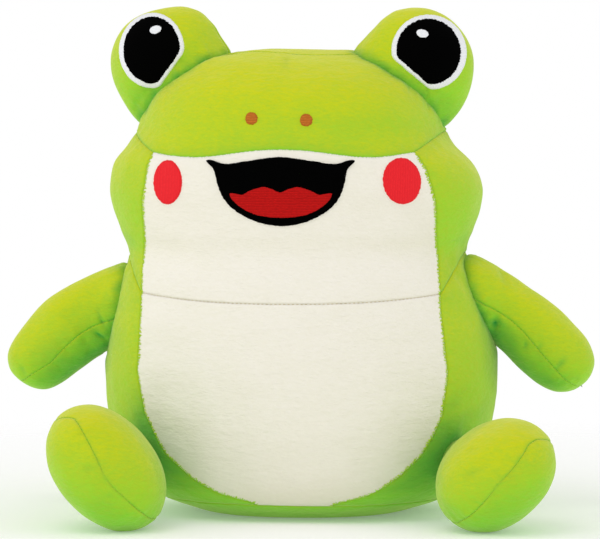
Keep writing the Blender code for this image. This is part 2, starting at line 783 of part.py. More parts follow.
def hollow_cutter(name, form, root, root_sizes, axis, turns, counts):
    """The hollow that a limb's root turns in: the root and the limb near it, over its whole range."""
    shape = bmesh.new()
    points = ball_points(root, root_sizes)
    rings = form.layer(SEWN_GAP)[len(ROOT_ANGLES):]
    for turn, count in zip(turns, counts):
        turning = Matrix.Rotation(turn, 3, axis)
        points += [root + turning @ (Vector(point) - root) for point in rings[:count].reshape(-1, 3)]
    for point in points:
        shape.verts.new(point)
    hull = bmesh.ops.convex_hull(shape, input=shape.verts)
    spare = {item for item in hull["geom_interior"] if isinstance(item, bmesh.types.BMVert)}
    bmesh.ops.delete(shape, geom=list(spare), context="VERTS")
    mesh = bpy.data.meshes.new(name)
    shape.to_mesh(mesh)
    shape.free()
    return add_cutter(mesh)


def add_limb(kind, hand, side, root, form, root_sizes, axis, turns, counts, bed):
    """A limb of two panels over its filling, turning about an empty, and its hollow in the torso."""
    straight = Vector((side * root.x, root.y, root.z))
    root = leaned(straight)
    form = Form(form.points + np.array(root - straight), form.labels, form.end_labels)
    pivot = bpy.data.objects.new(f"{kind}_{hand}_joint", None)
    pivot.location = root
    bpy.context.collection.objects.link(pivot)
    for label in dict.fromkeys(form.labels[0]):
        mesh = panel_mesh(f"{kind}_{hand}_{label}_panel", form, label, 0, -FABRIC_THICKNESS)
        add_piece(mesh, "velboa_green", pivot)
    depth = FABRIC_THICKNESS + SEWN_GAP
    add_piece(filling_mesh(f"{kind}_{hand}_stuffing", form, -depth), "fibre_fill", pivot)
    cutter = hollow_cutter(f"{kind}_{hand}_hollow", form, root, root_sizes, axis, turns, counts)
    for piece in bed:
        shape_by(piece, cutter, "DIFFERENCE")


def on_side(form, side):
    """A form that is made for the right side, on its own side."""
    return form if side > 0 else form.mirrored()


def clear_scene():
    for item in list(bpy.data.objects):
        bpy.data.objects.remove(item, do_unlink=True)


def build():
    clear_scene()
    form, rows = torso_form()
    torso = add_torso(form, rows)
    add_face(form)
    head_cutter = add_cutter(filling_mesh("head_outline", form, SEWN_GAP, rows["neck"], None))
    arm_poses = {
        "left": (ARM_DROP_LEFT, ARM_LENGTH_LEFT),
        "right": (ARM_DROP_RIGHT, ARM_LENGTH_RIGHT),
    }
    leg_poses = {
        "left": (LEG_SPLAY_LEFT, LEG_TURN_IN_LEFT, LEG_DROP_LEFT, LEG_ROLL_LEFT),
        "right": (LEG_SPLAY_RIGHT, LEG_TURN_IN_RIGHT, LEG_DROP_RIGHT, LEG_ROLL_RIGHT),
    }
    for hand, side in SIDES.items():
        mound = on_side(mound_form(), side).leaned()
        add_mound(hand, mound, head_cutter)
        add_eye(hand, side, mound)
        body = torso["body_stuffing"]
        root, arm = arm_form(*arm_poses[hand])
        arm_sizes = (ARM_ROOT_RADIUS, ARM_ROOT_HALF_DEPTH, ARM_ROOT_RADIUS)
        arm_bed = (torso[f"side_panel_{hand}"], torso[f"back_panel_{hand}"], body)
        arm_axis = Vector((0, -side, 0))
        add_limb("arm", hand, side, root, on_side(arm, side), arm_sizes, arm_axis, ARM_TURNS,
                 ARM_HOLLOW_RINGS, arm_bed)
        root, leg = leg_form(*leg_poses[hand])
        leg_bed = (torso[f"side_panel_{hand}"], torso["belly_panel"], body)
        leg_sizes = (LEG_ROOT_RADIUS,) * 3
        leg_axis = Vector((-1, 0, 0))
        add_limb("leg", hand, side, root, on_side(leg, side), leg_sizes, leg_axis, LEG_TURNS,
                 LEG_HOLLOW_RINGS, leg_bed)


build()
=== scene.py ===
"""The look of a seated plush frog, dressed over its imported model.

Metres, Z up, and the frog faces -Y. Left and right are as seen from its front.
Each sewn panel is a modelled sheet with rolled seams, gathers and soft lumps. The face is raised stitching.
"""

import math

import bpy
import numpy as np
from mathutils import Matrix, Vector
from mathutils.bvhtree import BVHTree
from mathutils.kdtree import KDTree


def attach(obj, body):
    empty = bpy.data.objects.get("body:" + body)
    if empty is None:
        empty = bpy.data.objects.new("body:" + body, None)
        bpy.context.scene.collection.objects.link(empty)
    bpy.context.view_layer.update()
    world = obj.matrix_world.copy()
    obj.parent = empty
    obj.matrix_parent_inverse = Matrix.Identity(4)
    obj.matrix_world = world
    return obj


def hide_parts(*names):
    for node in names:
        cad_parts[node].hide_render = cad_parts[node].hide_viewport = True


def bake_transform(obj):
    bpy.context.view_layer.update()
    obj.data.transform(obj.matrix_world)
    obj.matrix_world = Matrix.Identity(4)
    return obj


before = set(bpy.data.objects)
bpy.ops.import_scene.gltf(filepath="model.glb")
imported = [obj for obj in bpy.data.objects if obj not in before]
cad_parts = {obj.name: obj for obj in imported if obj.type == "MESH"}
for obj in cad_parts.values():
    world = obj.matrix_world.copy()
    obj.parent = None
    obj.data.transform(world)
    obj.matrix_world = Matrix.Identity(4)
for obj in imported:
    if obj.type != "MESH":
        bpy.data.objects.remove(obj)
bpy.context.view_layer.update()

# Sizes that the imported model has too

BODY_HEIGHT = 0.147
BODY_HALF_WIDTH = 0.1115
BODY_FRONT_DEPTH = 0.095
BODY_BACK_DEPTH = 0.078

# Head, from the neck to the crown
HEAD_HEIGHT = 0.117
HEAD_HALF_WIDTH = 0.1065
HEAD_FRONT_DEPTH = 0.087
HEAD_BACK_DEPTH = 0.079

# Outlines of body and head: height, half width, front depth and back depth, as shares of the above
BODY_SHARES = (
    (0.0, 0.24, 0.28, 0.28), (0.0, 0.47, 0.55, 0.52), (0.026, 0.61, 0.70, 0.66),
    (0.066, 0.75, 0.83, 0.80), (0.13, 0.86, 0.92, 0.90), (0.224, 0.935, 0.97, 0.96),
    (0.36, 0.98, 1.0, 0.99), (0.53, 1.0, 1.0, 1.0), (0.69, 0.985, 0.98, 0.99), (0.855, 0.93, 0.94, 0.97),
)
HEAD_SHARES = (
    (0.0, 0.905, 0.975, 0.95), (0.11, 0.945, 0.985, 0.97), (0.22, 0.985, 0.99, 0.99),
    (0.32, 1.0, 1.0, 1.0), (0.43, 0.96, 1.0, 1.0), (0.52, 0.875, 0.985, 0.99), (0.59, 0.825, 0.97, 0.98),
    (0.68, 0.795, 0.94, 0.95), (0.77, 0.75, 0.87, 0.87), (0.85, 0.68, 0.75, 0.74),
    (0.92, 0.57, 0.58, 0.56), (0.966, 0.38, 0.37, 0.35), (0.99, 0.17, 0.16, 0.15),
    (0.994, 0.02, 0.02, 0.02),
)
SECTION_ROUNDNESS = 2.3


def head_height(share):
    """A height on the head, by its share of the way from the neck to the crown."""
    return BODY_HEIGHT + HEAD_HEIGHT * share


# Seams of the torso
SEAT_EDGE_HEIGHT = 0.0095
BELLY_SEAM_HEIGHT = BODY_HEIGHT * 0.878
BELLY_SEAM_SAG = 0.008
BELLY_SEAM_SIDE_RISE = 0.019
BROW_SEAM_HEIGHT = head_height(0.487)
BROW_SEAM_ARCH = 0.0028
BROW_SEAM_ARCH_TURN = math.radians(288)
BROW_SEAM_SIDE_RISE = 0.0140
CROWN_SEAM_HEIGHT = head_height(0.962)
SIDE_SEAM_ANGLE = math.radians(96)

# How far the torso leans to the left for its height, and how much more its temples do
TORSO_LEAN = math.tan(math.radians(1.5))
TEMPLE_HEIGHT = 0.209
TEMPLE_SPREAD = 0.014
TEMPLE_SHIFT = 0.0024

# Edge of the white panels: height as a share of the seated height, half width as a share of its widest
WHITE_EDGE_SHARES = (
    (0.0405, 0.25), (0.0614, 0.473), (0.082, 0.595), (0.103, 0.686), (0.145, 0.82), (0.187, 0.90),
    (0.229, 0.96), (0.32, 1.0), (0.40, 0.98), (0.557, 0.957), (0.674, 0.949), (0.74, 0.90),
    (0.777, 0.845),
)
WHITE_HALF_WIDTH = BODY_HALF_WIDTH * 0.771
WHITE_EDGE_LIMIT = 0.88

# Eye mounds, each an egg-shaped bag on a corner of the head
MOUND_OFFSET = HEAD_HALF_WIDTH * 0.671
MOUND_FORWARD = 0.008
MOUND_HEIGHT = head_height(0.936)
MOUND_HALF_WIDTH = 0.0322
MOUND_UPPER_HEIGHT = 0.031
MOUND_LOWER_HEIGHT = 0.0405
MOUND_HALF_DEPTH = 0.031
MOUND_LOWER_DEPTH_SHARE = 0.55
MOUND_TURN = math.radians(14)
MOUND_SEAM_SHARE = 0.54

# How far each mound's top leans inward, how far the whole mound is raised, and how much its top narrows
MOUND_SHIFTS = {"left": (0.005, 0.0, 0.03), "right": (0.0, -0.0018, 0.04)}
MOUND_LOWER_NARROWING = 0.03

# Embroidered eyes, with angles in degrees. The right one is a little larger and lower than the left
EYE_OFFSET = MOUND_OFFSET + 0.006
EYE_HEIGHT = MOUND_HEIGHT + 0.005
EYES = {
    "left": {"centre": (-EYE_OFFSET, EYE_HEIGHT), "rim": (0.0193, 0.0215), "pupil": (0.0166, 0.0189),
             "inward": 0.0006, "chord": -37, "glint": (0.0030, 0.0108), "tilt": 15},
    "right": {"centre": (EYE_OFFSET + 0.0014, EYE_HEIGHT - 0.0012), "rim": (0.0210, 0.0213),
              "pupil": (0.0180, 0.0186), "inward": -0.0004, "chord": -131, "glint": (-0.0034, 0.0096),
              "tilt": -15},
}
EYE_POINTS = 96
EYE_CHORD = 0.0160
PUPIL_CHORD = 0.0142
HIGHLIGHT_SIZE = (0.0038, 0.0025)
SMALL_POINTS = 40

# Embroidered nostrils, and blushes with their half sizes
NOSTRIL_HEIGHT = head_height(0.648)
NOSTRIL_SIZE = (0.0035, 0.0035)
NOSTRILS = {"left": (-0.0175, NOSTRIL_HEIGHT + 0.0003), "right": (0.0127, NOSTRIL_HEIGHT - 0.0006)}
BLUSH_OFFSET = 0.065
BLUSH_HEIGHT = head_height(0.353)
BLUSHES = {
    "left": ((-BLUSH_OFFSET - 0.0007, BLUSH_HEIGHT - 0.0004), (0.0085, 0.0123)),
    "right": ((BLUSH_OFFSET - 0.0011, BLUSH_HEIGHT + 0.0004), (0.0103, 0.0128)),
}
BLUSH_TILT = 4
BLUSH_POINTS = 60

# Embroidered mouth, whose outline and tongue are shares of its half width and height
MOUTH_BOTTOM = head_height(0.147)
MOUTH_HALF_WIDTH = 0.0413
MOUTH_OFFSET = -0.0022
MOUTH_HEIGHT = 0.0378
MOUTH_MIDDLE = 0.42
TONGUE_MIDDLE = 0.36
MOUTH_SHARES = (
    (0.0, 0.0), (0.24, 0.03), (0.48, 0.13), (0.66, 0.26), (0.775, 0.41), (0.84, 0.58), (0.87, 0.72),
    (0.90, 0.83), (0.985, 0.925), (0.975, 0.955), (0.90, 0.95), (0.72, 0.90), (0.42, 0.945), (0.0, 1.0),
)
TONGUE_SHARES = (
    (0.0, 0.115), (0.27, 0.14), (0.47, 0.22), (0.62, 0.34), (0.69, 0.455), (0.655, 0.48), (0.53, 0.455),
    (0.42, 0.51), (0.25, 0.57), (0.12, 0.545), (0.0, 0.495),
)

# Both kinds of limb: where the root is, the axis that the limb bends about, its panels, where along it the
# joint bends it, and the swell of its tip
LIMB_KINDS = {
    "arm": {"root": (BODY_HALF_WIDTH * 0.965, -0.006, BODY_HEIGHT * 0.80), "axis": (0, 1, 0),
            "panels": ("upper", "lower"), "crossing": (-0.006, 0.024),
            "tip": ((0.97, 0.48), (0.995, 0.21), (1.0035, 0.004))},
    "leg": {"root": (BODY_HALF_WIDTH * 0.78, -BODY_FRONT_DEPTH * 0.747, 0.037), "axis": (0, 0, -1),
            "panels": ("inner", "outer"), "crossing": (0.0, 0.03),
            "tip": ((0.965, 0.42), (0.993, 0.21), (1.0035, 0.004))},
}
LEG_SHARES = ((0.18, 0.3), (0.4, 0.85), (0.58, 1.0), (0.76, 0.93), (0.89, 0.72))

# Each limb, with angles in degrees: sizes are half height and half width, shares the swell at each place, and
# spread says how far the limb's foot spreads over the torso and from how near
LIMBS = {
    ("arm", "left"): {
        "shift": (-0.0014, 0, 0.0002), "splay": 90, "drop": 27.1, "roll": 0, "bend": 25, "length": 0.0711,
        "root_size": (0.0197, 0.0195), "size": (0.0209, 0.0215), "spread": (0.0036, 0.009),
        "shares": ((0.2, 0.8), (0.42, 1.8), (0.6, 0.99), (0.77, 0.91), (0.9, 0.74))},
    ("arm", "right"): {
        "shift": (0.0005, 0, 0.0036), "splay": 90, "drop": 33.1, "roll": 0, "bend": 20.5, "length": 0.0732,
        "root_size": (0.0174, 0.0195), "size": (0.0197, 0.0215), "spread": (0.0040, 0.010),
        "shares": ((0.2, 0.5), (0.42, 1.05), (0.6, 1.0), (0.77, 0.94), (0.9, 0.76))},
    ("leg", "left"): {
        "shift": (0.0060, 0.0093, -0.0026), "splay": 13.1, "drop": 1.0, "roll": 40.6, "bend": 23.7,
        "length": 0.0915, "root_size": (0.0121, 0.0121), "size": (0.0383, 0.0272), "spread": (0.0010, 0.004),
        "shares": LEG_SHARES},
    ("leg", "right"): {
        "shift": (0.0043, 0.0145, -0.0047), "splay": 34.6, "drop": 2.1, "roll": 51.6, "bend": 40,
        "length": 0.0924, "root_size": (0.0121, 0.0121), "size": (0.0353, 0.0266), "spread": (0.0010, 0.004),
        "shares": LEG_SHARES},
}
ROOT_ANGLES = tuple(math.radians(angle) for angle in (22, 45, 68))

# How far each arm's foot is pulled up and its top spreads, each with its reach
ARM_ROOT_RISE = {"left": (0.0004, 0.014), "right": (0.0033, 0.014)}
ARM_RISE_LIMIT = 0.05
ARM_TOP_FLARE = {"left": (0.0022, 0.005), "right": (0.0034, 0.005)}
MOUND_FLARE = (0.0034, 0.007)

# The ways that a flare favours, on the right side
LIMB_FLARE_WAY = (0, -0.9, 0)
ARM_TOP_FLARE_WAY = (-0.3, 0.2, 0.8)
MOUND_FLARE_WAY = (-0.7, 0, 0.7)

# The part of a limb's tip that is too small for puckers, and the most painted shade it may have
TIP_CALM_RADIUS = 0.005
TIP_SHADE_LIMIT = 0.2

# Seams of each limb: the share of its length and the angles of both seams, in degrees from its upper side
LIMB_SEAMS = {
    ("arm", "left"): ((0, -116, 116), (0.21, -114, 114), (0.35, -108, 108), (0.45, -106.5, 106.5),
                      (0.6, -109.5, 109.5), (0.68, -112.5, 112.5), (0.81, -104, 104), (1, -98, 98)),
    ("arm", "right"): ((0, -108, 108), (0.226, -105, 105), (0.31, -100.5, 100.5), (0.38, -97.5, 97.5),
                       (0.46, -97.5, 97.5), (0.6, -102, 102), (0.8, -105, 105), (1, -100, 100)),
    ("leg", "left"): ((0, -30, 170), (0.60, -6, 174), (0.67, 8, 175), (0.70, 17, 175), (0.75, 19.5, 175),
                      (0.9, 24, 178), (1, 28, 188)),
    ("leg", "right"): ((0, -40, 185), (0.607, -9, 190), (0.69, 3, 192), (0.74, 13.5, 192), (0.786, 18, 194),
                       (0.86, 14, 197), (0.94, 10, 200), (1, 8, 202)),
}

# Counts of faces, enough for folds of a few millimetres

TORSO_COLUMNS = (60, 40, 56)
TORSO_ROWS = (8, 12, 96, 14, 50, 50, 22)
MOUND_COLUMNS = 120
MOUND_ROWS = 64
LIMB_COLUMNS = 132
LIMB_ROWS = 84
PROFILE_STEPS = 24

# Fabric, thread and how they were sewn

FABRIC_THICKNESS = 0.0013
SEAM_GAP = 0.00003
SEWN_GAP = 0.0008
SEAM_WAVES = 28
WHITE_PANELS = ("belly_panel", "face_panel")
STITCH_PITCH = 0.0024
STITCH_LENGTH = 0.0013
STITCH_RADIUS = 0.00018
SEAM_STITCH_SINK = 0.00005
BELLY_STITCH_SINK = -0.0001
THREAD_HEIGHT = 0.0009
THREAD_EDGE = 0.0011
THREAD_LAYER = 0.0004
THREAD_JAG = 0.0002
RIM_JAG = 0.00015
PUPIL_JAG = 0.0003
RIM_STEP = 0.0006
RING_STEP = 0.0008
TUFT_PITCH = 0.0010
TUFT_LENGTHS = (0.0012, 0.0026)
TUFT_RADII = (0.00026, 0.00046)
TUFT_LIFT = 0.0001
TUFT_SCATTER = 0.4
TUFT_SLANT = 0.8
TUFT_OVERHANG = 0.35

# A short thread: its sides, and its places along the middle with the swell at each
THREAD_SIDES = 6
THREAD_STATIONS = ((-0.5, 0.15), (-0.36, 0.85), (0.0, 1.0), (0.36, 0.85), (0.5, 0.15))

# How each line is gathered: depth drawn in, its width, height of the puckers, their reach and size, and painted
# shade
GATHERS = {
    "torso seams": (0.00014, 0.0014, 0.0002, 0.006, 0.0075, 0.06),
    "brow seam": (0.0006, 0.0050, 0.00022, 0.009, 0.010, 0.10),
    "neck": (0.0010, 0.008, 0.0004, 0.012, 0.012, 0.1),
    "torso by a limb": (0.0008, 0.005, 0.0005, 0.011, 0.011, 0.35),
    "head by a mound": (0.0006, 0.004, 0.0006, 0.0088, 0.011, 0.25),
    "limb seams": (0.0002, 0.0013, 0.00035, 0.006, 0.006, 0.15),
    "limb root": (0.0003, 0.003, 0.0004, 0.010, 0.010, 0.3),
    "mound seam": (0.0004, 0.0018, 0.0002, 0.006, 0.008, 0.14),
    "mound root": (0.0003, 0.003, 0.0005, 0.010, 0.009, 0.08),
}

# Soft lumps of the filling: their size and height. The torso's fade out towards the seat
SEAT_CALM_HEIGHT = 0.02
TORSO_LUMPS = ((0.075, 0.0008), (0.022, 0.00018))
LIMB_LUMPS = ((0.05, 0.0006), (0.016, 0.00016))
MOUND_LUMPS = (0.035, 0.0006)

# A fold is deepest at a share of its length. The dart in the brow has its depth, half width and painted shade
FOLD_CREST = 0.3
FOLD_STEPS = 40
BROW_DART = (0.0006, 0.0022, 0.15)
DART_ROWS = (22, 2)

# Painted shade in hollows, where light is shut out: the colour is darkened there

HOLLOW_RAYS = 20
HOLLOW_STEP = 4
HOLLOW_REACH = 0.12
HOLLOW_STRENGTH = 1.2
HOLLOW_START = 0.2
HOLLOW_LIMIT = 0.7
FLOOR_SHADE = 0.35
HOLLOW_LIFT = 0.0015

# Folds by the eye mounds, in the front view: across and up, then depth, half width and painted shade

MOUND_FOLDS = {
    "left": (
        (((0.0540, 0.2580), (0.0634, 0.2543), (0.0729, 0.2464), (0.0794, 0.2399), (0.0841, 0.2343)),
         0.0012, 0.0030, 0.22),
        (((0.0895, 0.2257), (0.0884, 0.2313), (0.0834, 0.2386)), 0.0008, 0.0013, 0.3),
        (((0.0873, 0.2279), (0.0850, 0.2335), (0.0806, 0.2363)), 0.0007, 0.0012, 0.25),
    ),
    "right": (
        (((0.0437, 0.2503), (0.0538, 0.2475), (0.0594, 0.2408), (0.0678, 0.2324), (0.0773, 0.2223)),
         0.0010, 0.0032, 0.2),
        (((0.0745, 0.2363), (0.0789, 0.2268)), 0.0007, 0.0013, 0.25),
    ),
}

# Folds on the limbs: the places that each runs through, its depth, half width and painted shade

LIMB_FOLDS = {
    ("arm", "left"): (
        (((0.29, 0.44), (0.31, 0.50), (0.31, 0.60)), 0.0015, 0.0013, 0.7),
        (((0.385, 0.51), (0.357, 0.584), (0.335, 0.66)), 0.0019, 0.0014, 1.0),
        (((0.445, 0.51), (0.452, 0.556), (0.470, 0.61)), 0.0007, 0.0022, 0.3),
        (((0.640, 0.51), (0.655, 0.553), (0.680, 0.61)), 0.0007, 0.0020, 0.3),
        (((0.810, 0.43), (0.833, 0.472), (0.855, 0.51)), 0.0006, 0.0018, 0.3),
    ),
    ("arm", "right"): (
        (((0.31, 0.519), (0.333, 0.578), (0.369, 0.68)), 0.0024, 0.0022, 1.0),
        (((0.505, 0.515), (0.524, 0.545), (0.53, 0.60)), 0.0009, 0.0016, 0.5),
        (((0.714, 0.43), (0.726, 0.493), (0.738, 0.57)), 0.0009, 0.0018, 0.45),
        (((0.575, 0.47), (0.583, 0.50), (0.60, 0.53)), 0.0006, 0.0013, 0.3),
        (((0.17, 0.26), (0.214, 0.34), (0.26, 0.40)), 0.0012, 0.0028, 0.15),
    ),
    ("leg", "left"): (
        (((0.90, 0.83), (0.94, 0.887), (0.955, 0.96)), 0.0005, 0.0018, 0.15),
        (((0.90, 0.62), (0.905, 0.566), (0.905, 0.51)), 0.0005, 0.0018, 0.15),
        (((0.825, 0.52), (0.821, 0.47), (0.81, 0.43)), 0.0005, 0.0018, 0.15),
        (((0.80, 0.97), (0.798, 0.01), (0.786, 0.06)), 0.0005, 0.0018, 0.12),
    ),
    ("leg", "right"): (
        (((0.714, 0.24), (0.738, 0.215), (0.762, 0.19)), 0.0004, 0.0020, 0.12),
        (((0.81, 0.314), (0.857, 0.268), (0.881, 0.167)), 0.0005, 0.0022, 0.15),
        (((0.952, 0.013), (0.94, 0.943), (0.917, 0.907)), 0.0005, 0.0018, 0.15),
        (((0.885, 0.51), (0.881, 0.454), (0.869, 0.41)), 0.0004, 0.0018, 0.12),
    ),
}

SIDES = {"left": -1, "right": 1}
UP = Vector((0, 0, 1))


# Smooth curves


def smooth_through(points):
    """Points along a smooth curve through the given rows of numbers."""
    rows = np.array(points, float)
    ends = np.vstack([2 * rows[0] - rows[1], rows, 2 * rows[-1] - rows[-2]])
    step = np.linspace(0, 1, PROFILE_STEPS, endpoint=False)[:, None]
    curve = []
    for before, here, there, after in zip(ends, ends[1:], ends[2:], ends[3:]):
        square = (2 * before - 5 * here + 4 * there - after) * step**2
        cube = (3 * here - before - 3 * there + after) * step**3
        curve.append((2 * here + (there - before) * step + square + cube) / 2)
    return np.vstack([*curve, rows[-1]])


def path_lengths(path):
    """The length along a path at each of its points."""
    return np.concatenate([[0], np.cumsum(np.linalg.norm(np.diff(path, axis=0), axis=1))])


def read_at(rows, lengths, travel):
    """Rows of numbers read at one length along them, or at several."""
    return np.stack([np.interp(travel, lengths, column) for column in rows.T], axis=-1)


class Profile:
    """An outline, read by the length along it from its first end."""

    def __init__(self, stations):
        self.table = smooth_through(stations)
        self.lengths = path_lengths(self.table[:, :2])

    def at(self, length):
        return read_at(self.table, self.lengths, length)

    def length_at(self, height):
        return np.interp(height, self.table[:, 0], self.lengths)


def torso_profile():
    body = np.array(BODY_SHARES) * (BODY_HEIGHT, BODY_HALF_WIDTH, BODY_FRONT_DEPTH, BODY_BACK_DEPTH)
    head = np.array(HEAD_SHARES) * (HEAD_HEIGHT, HEAD_HALF_WIDTH, HEAD_FRONT_DEPTH, HEAD_BACK_DEPTH)
    head[:, 0] += BODY_HEIGHT
    return Profile(np.vstack([body, head]))


# Forms: rings of points, and the panel that each cell belongs to


def leaned(points):
    """Points on the torso after it leans a little to the left, most at the temples. Its seat stays flat."""
    moved = np.array(points, float)
    temples = np.exp(-(((moved[..., 2] - TEMPLE_HEIGHT) / TEMPLE_SPREAD) ** 2))
    moved[..., 0] -= moved[..., 2] * TORSO_LEAN + TEMPLE_SHIFT * temples
    return moved


def unit(rows):
    return rows / np.maximum(np.linalg.norm(rows, axis=-1, keepdims=True), 1e-12)


def normals_of(points):
    around = np.roll(points, -1, axis=1) - np.roll(points, 1, axis=1)
    return unit(np.cross(around, np.gradient(points, axis=0)))


def lumps(points, size, seed):
    """A smooth uneven height over space, about -1 to 1, whose lumps have one size."""
    draw = np.random.default_rng(seed)
    ways = unit(draw.normal(size=(SEAM_WAVES, 3))) * (2 * math.pi / size)
    starts = draw.uniform(0, 2 * math.pi, SEAM_WAVES)
    return np.sin(points @ ways.T + starts).sum(axis=-1) / math.sqrt(SEAM_WAVES)


class Form:
    """A sewn form: rings of points, the panel of each cell, the panels that close its ends, and its painted
    shade.
    """

    def __init__(self, points, labels, ends):
        self.points = np.array(points)
        self.labels = labels
        self.ends = ends
        self.painted_shade = np.zeros(self.points.shape[:2])

    def mirrored(self):
        columns = self.points.shape[1]
        cells = [(columns - 2 - cell) % columns for cell in range(columns)]
        return Form(self.points[:, ::-1] * np.array((-1, 1, 1)), self.labels[:, cells], self.ends)

    def push(self, amounts):
        """Moves the surface out along its normals."""
        self.points = self.points + normals_of(self.points) * amounts[..., None]

    def shade(self, amounts):
        self.painted_shade = np.maximum(self.painted_shade, amounts)

    def seam_mask(self, panels=(), others=()):
        """Which points lie on a seam, or only on one between two sets of panels."""
        labels = self.labels[[0, *range(len(self.labels)), -1]]
        low, high = labels[:-1], labels[1:]
        around = (low, high, np.roll(high, 1, axis=1), np.roll(low, 1, axis=1))
        mask = np.zeros(low.shape, bool)
        for one, two in zip(around, around[1:] + around[:1]):
            parted = (one != two).astype(bool)
            if panels:
                parted = np.isin(one, panels) & np.isin(two, others) | np.isin(two, panels) & np.isin(one, others)
            mask |= parted
        return mask

    def seam(self, *groups):
        return self.points[self.seam_mask(*groups)]

    def tree(self):
        """The surface as it is now, to drop stitching onto."""
        rows, columns = self.points.shape[:2]
        points = self.points.reshape(-1, 3)
        fans, middles = end_faces(self, self.ends, len(points))
        return BVHTree.FromPolygons(np.vstack([points, middles]).tolist(), tube_faces(rows, columns) + fans)


def nearest(points, line, limit):
    """For each point, the nearest place on a line of points and how far off it is, up to a limit."""
    tree = KDTree(len(line))
    for number, place in enumerate(line):
        tree.insert(place, number)
    tree.balance()
    flat = points.reshape(-1, 3)
    places, gaps = flat.copy(), np.full(len(flat), limit)
    low, high = np.min(line, axis=0) - limit, np.max(line, axis=0) + limit
    for number in np.nonzero(((flat > low) & (flat < high)).all(axis=1))[0]:
        place, _, gap = tree.find(flat[number])
        places[number], gaps[number] = place, min(gap, limit)
    return places.reshape(points.shape), gaps.reshape(points.shape[:-1])


def gather(form, line, kind, seed):
    """Draws a form in along a line of stitching, puckers the fabric across it, and paints shade along the line.
    """
    depth, width, pucker, reach, size, shade = GATHERS[kind]
    places, gaps = nearest(form.points, line, 3 * max(reach, width))
    close = gaps / width
    dip = depth * (1 - np.sqrt(1 - (1 - np.clip(close, 0, 1)) ** 2))
    folds = pucker * np.exp(-((gaps / reach) ** 2)) * lumps(places, size, seed) * np.clip(close, 0.2, 1)
    form.push(folds - dip)
    form.shade(shade * np.exp(-(close ** 2)))


def fold(form, line, depth, width, shade):
    """A fold drawn in along a line of points with painted shade, which fades out from its crest to both ends."""
    line = np.array(line)
    lengths = path_lengths(line)
    share = np.linspace(0, 1, FOLD_STEPS)
    path = read_at(line, lengths, share * lengths[-1])
    strength = np.clip(share / FOLD_CREST, 0, 1) * np.clip((1 - share) / (1 - FOLD_CREST), 0, 1)
    gaps = np.linalg.norm(form.points[:, :, None] - path, axis=3)
    drawn = (strength * np.exp(-((gaps / width) ** 2))).max(axis=2)
    form.push(-depth * drawn)
    form.shade(shade * drawn)


def flare(form, line, size, way, side):
    """Spreads the foot of a form where it is sewn on, most where it faces one way."""
    amount, reach = size
    _, gaps = nearest(form.points, line, 3 * reach)
    facing = np.clip(0.5 + normals_of(form.points) @ (np.array(way) * (side, 1, 1)), 0.15, 1.3)
    form.push(amount * np.exp(-((gaps / reach) ** 1.5)) * facing)


# Torso


def white_edge_angle(height, half_width):
    """The angle round the section where the white panels end at this height."""
    heights, widths = np.array(WHITE_EDGE_SHARES).T
    offset = np.interp(height, heights * (BODY_HEIGHT + HEAD_HEIGHT), widths) * WHITE_HALF_WIDTH
    return math.asin(min(offset / half_width, WHITE_EDGE_LIMIT) ** (SECTION_ROUNDNESS / 2))


def column_angles(white_angle):
    """Angles of the columns round the section, from the front by the right side to the back and on."""
    seams = np.cumsum((0, *TORSO_COLUMNS))
    half = np.interp(range(seams[-1] + 1), seams, (0, white_angle, SIDE_SEAM_ANGLE, math.pi))
    return np.concatenate([half, -half[-2:0:-1]])


def torso_point(profile, length, angle):
    height, half_width, front, back = profile.at(length)
    across, along = (math.copysign(abs(part) ** (2 / SECTION_ROUNDNESS), part)
                     for part in (math.sin(angle), math.cos(angle)))
    return half_width * across, -(front if along > 0 else back) * along, max(height, 0)


def seam_shift(length, keys, angle, white_angle):
    """How far the rows sag or rise along the profile, so that they follow the seams."""
    across, frontal = abs(math.sin(angle)), max(math.cos(angle), 0)
    start = math.sin(white_angle)
    sideways = max(across - start, 0) / (1 - start)
    belly = np.interp(length, (keys["seat_edge"], keys["belly"], keys["brow"]), (0, 1, 0))
    brow = np.interp(length, (keys["belly"], keys["brow"], keys["crown"]), (0, 1, 0))
    arch = math.cos(BROW_SEAM_ARCH_TURN * (min(across / start, 1) if frontal else 1))
    side = BELLY_SEAM_SIDE_RISE * (sideways if frontal else 1) - BELLY_SEAM_SAG * frontal ** 2
    return brow * (BROW_SEAM_SIDE_RISE * sideways + BROW_SEAM_ARCH * arch) + belly * side


def torso_form():
    """Body and head as one form. Its rows and columns follow the seams."""
    profile = torso_profile()
    heights = (SEAT_EDGE_HEIGHT, BELLY_SEAM_HEIGHT, BODY_HEIGHT, BROW_SEAM_HEIGHT, CROWN_SEAM_HEIGHT)
    seams = [0, profile.lengths[PROFILE_STEPS], *map(profile.length_at, heights), profile.lengths[-1]]
    keys = dict(zip(("end", "seat", "seat_edge", "belly", "neck", "brow", "crown", "top"), seams))
    key_rows = np.cumsum((0, *TORSO_ROWS))
    points = []
    for length in np.interp(range(key_rows[-1] + 1), key_rows, seams):
        white = white_edge_angle(*profile.at(length)[:2])
        points.append([torso_point(profile, length + seam_shift(length, keys, angle, white), angle)
                       for angle in column_angles(white)])
    rows = dict(zip(keys, key_rows.tolist()))
    front, side, back = TORSO_COLUMNS
    zones = ["front"] * front + ["side"] * side + ["back"] * back
    places = [(zone, "right") for zone in zones] + [(zone, "left") for zone in reversed(zones)]
    labels = np.array([[torso_panel(row, rows, *place) for place in places] for row in range(rows["top"])],
                      object)
    return Form(leaned(points), labels, ("seat_panel", "head_back_panel")), rows


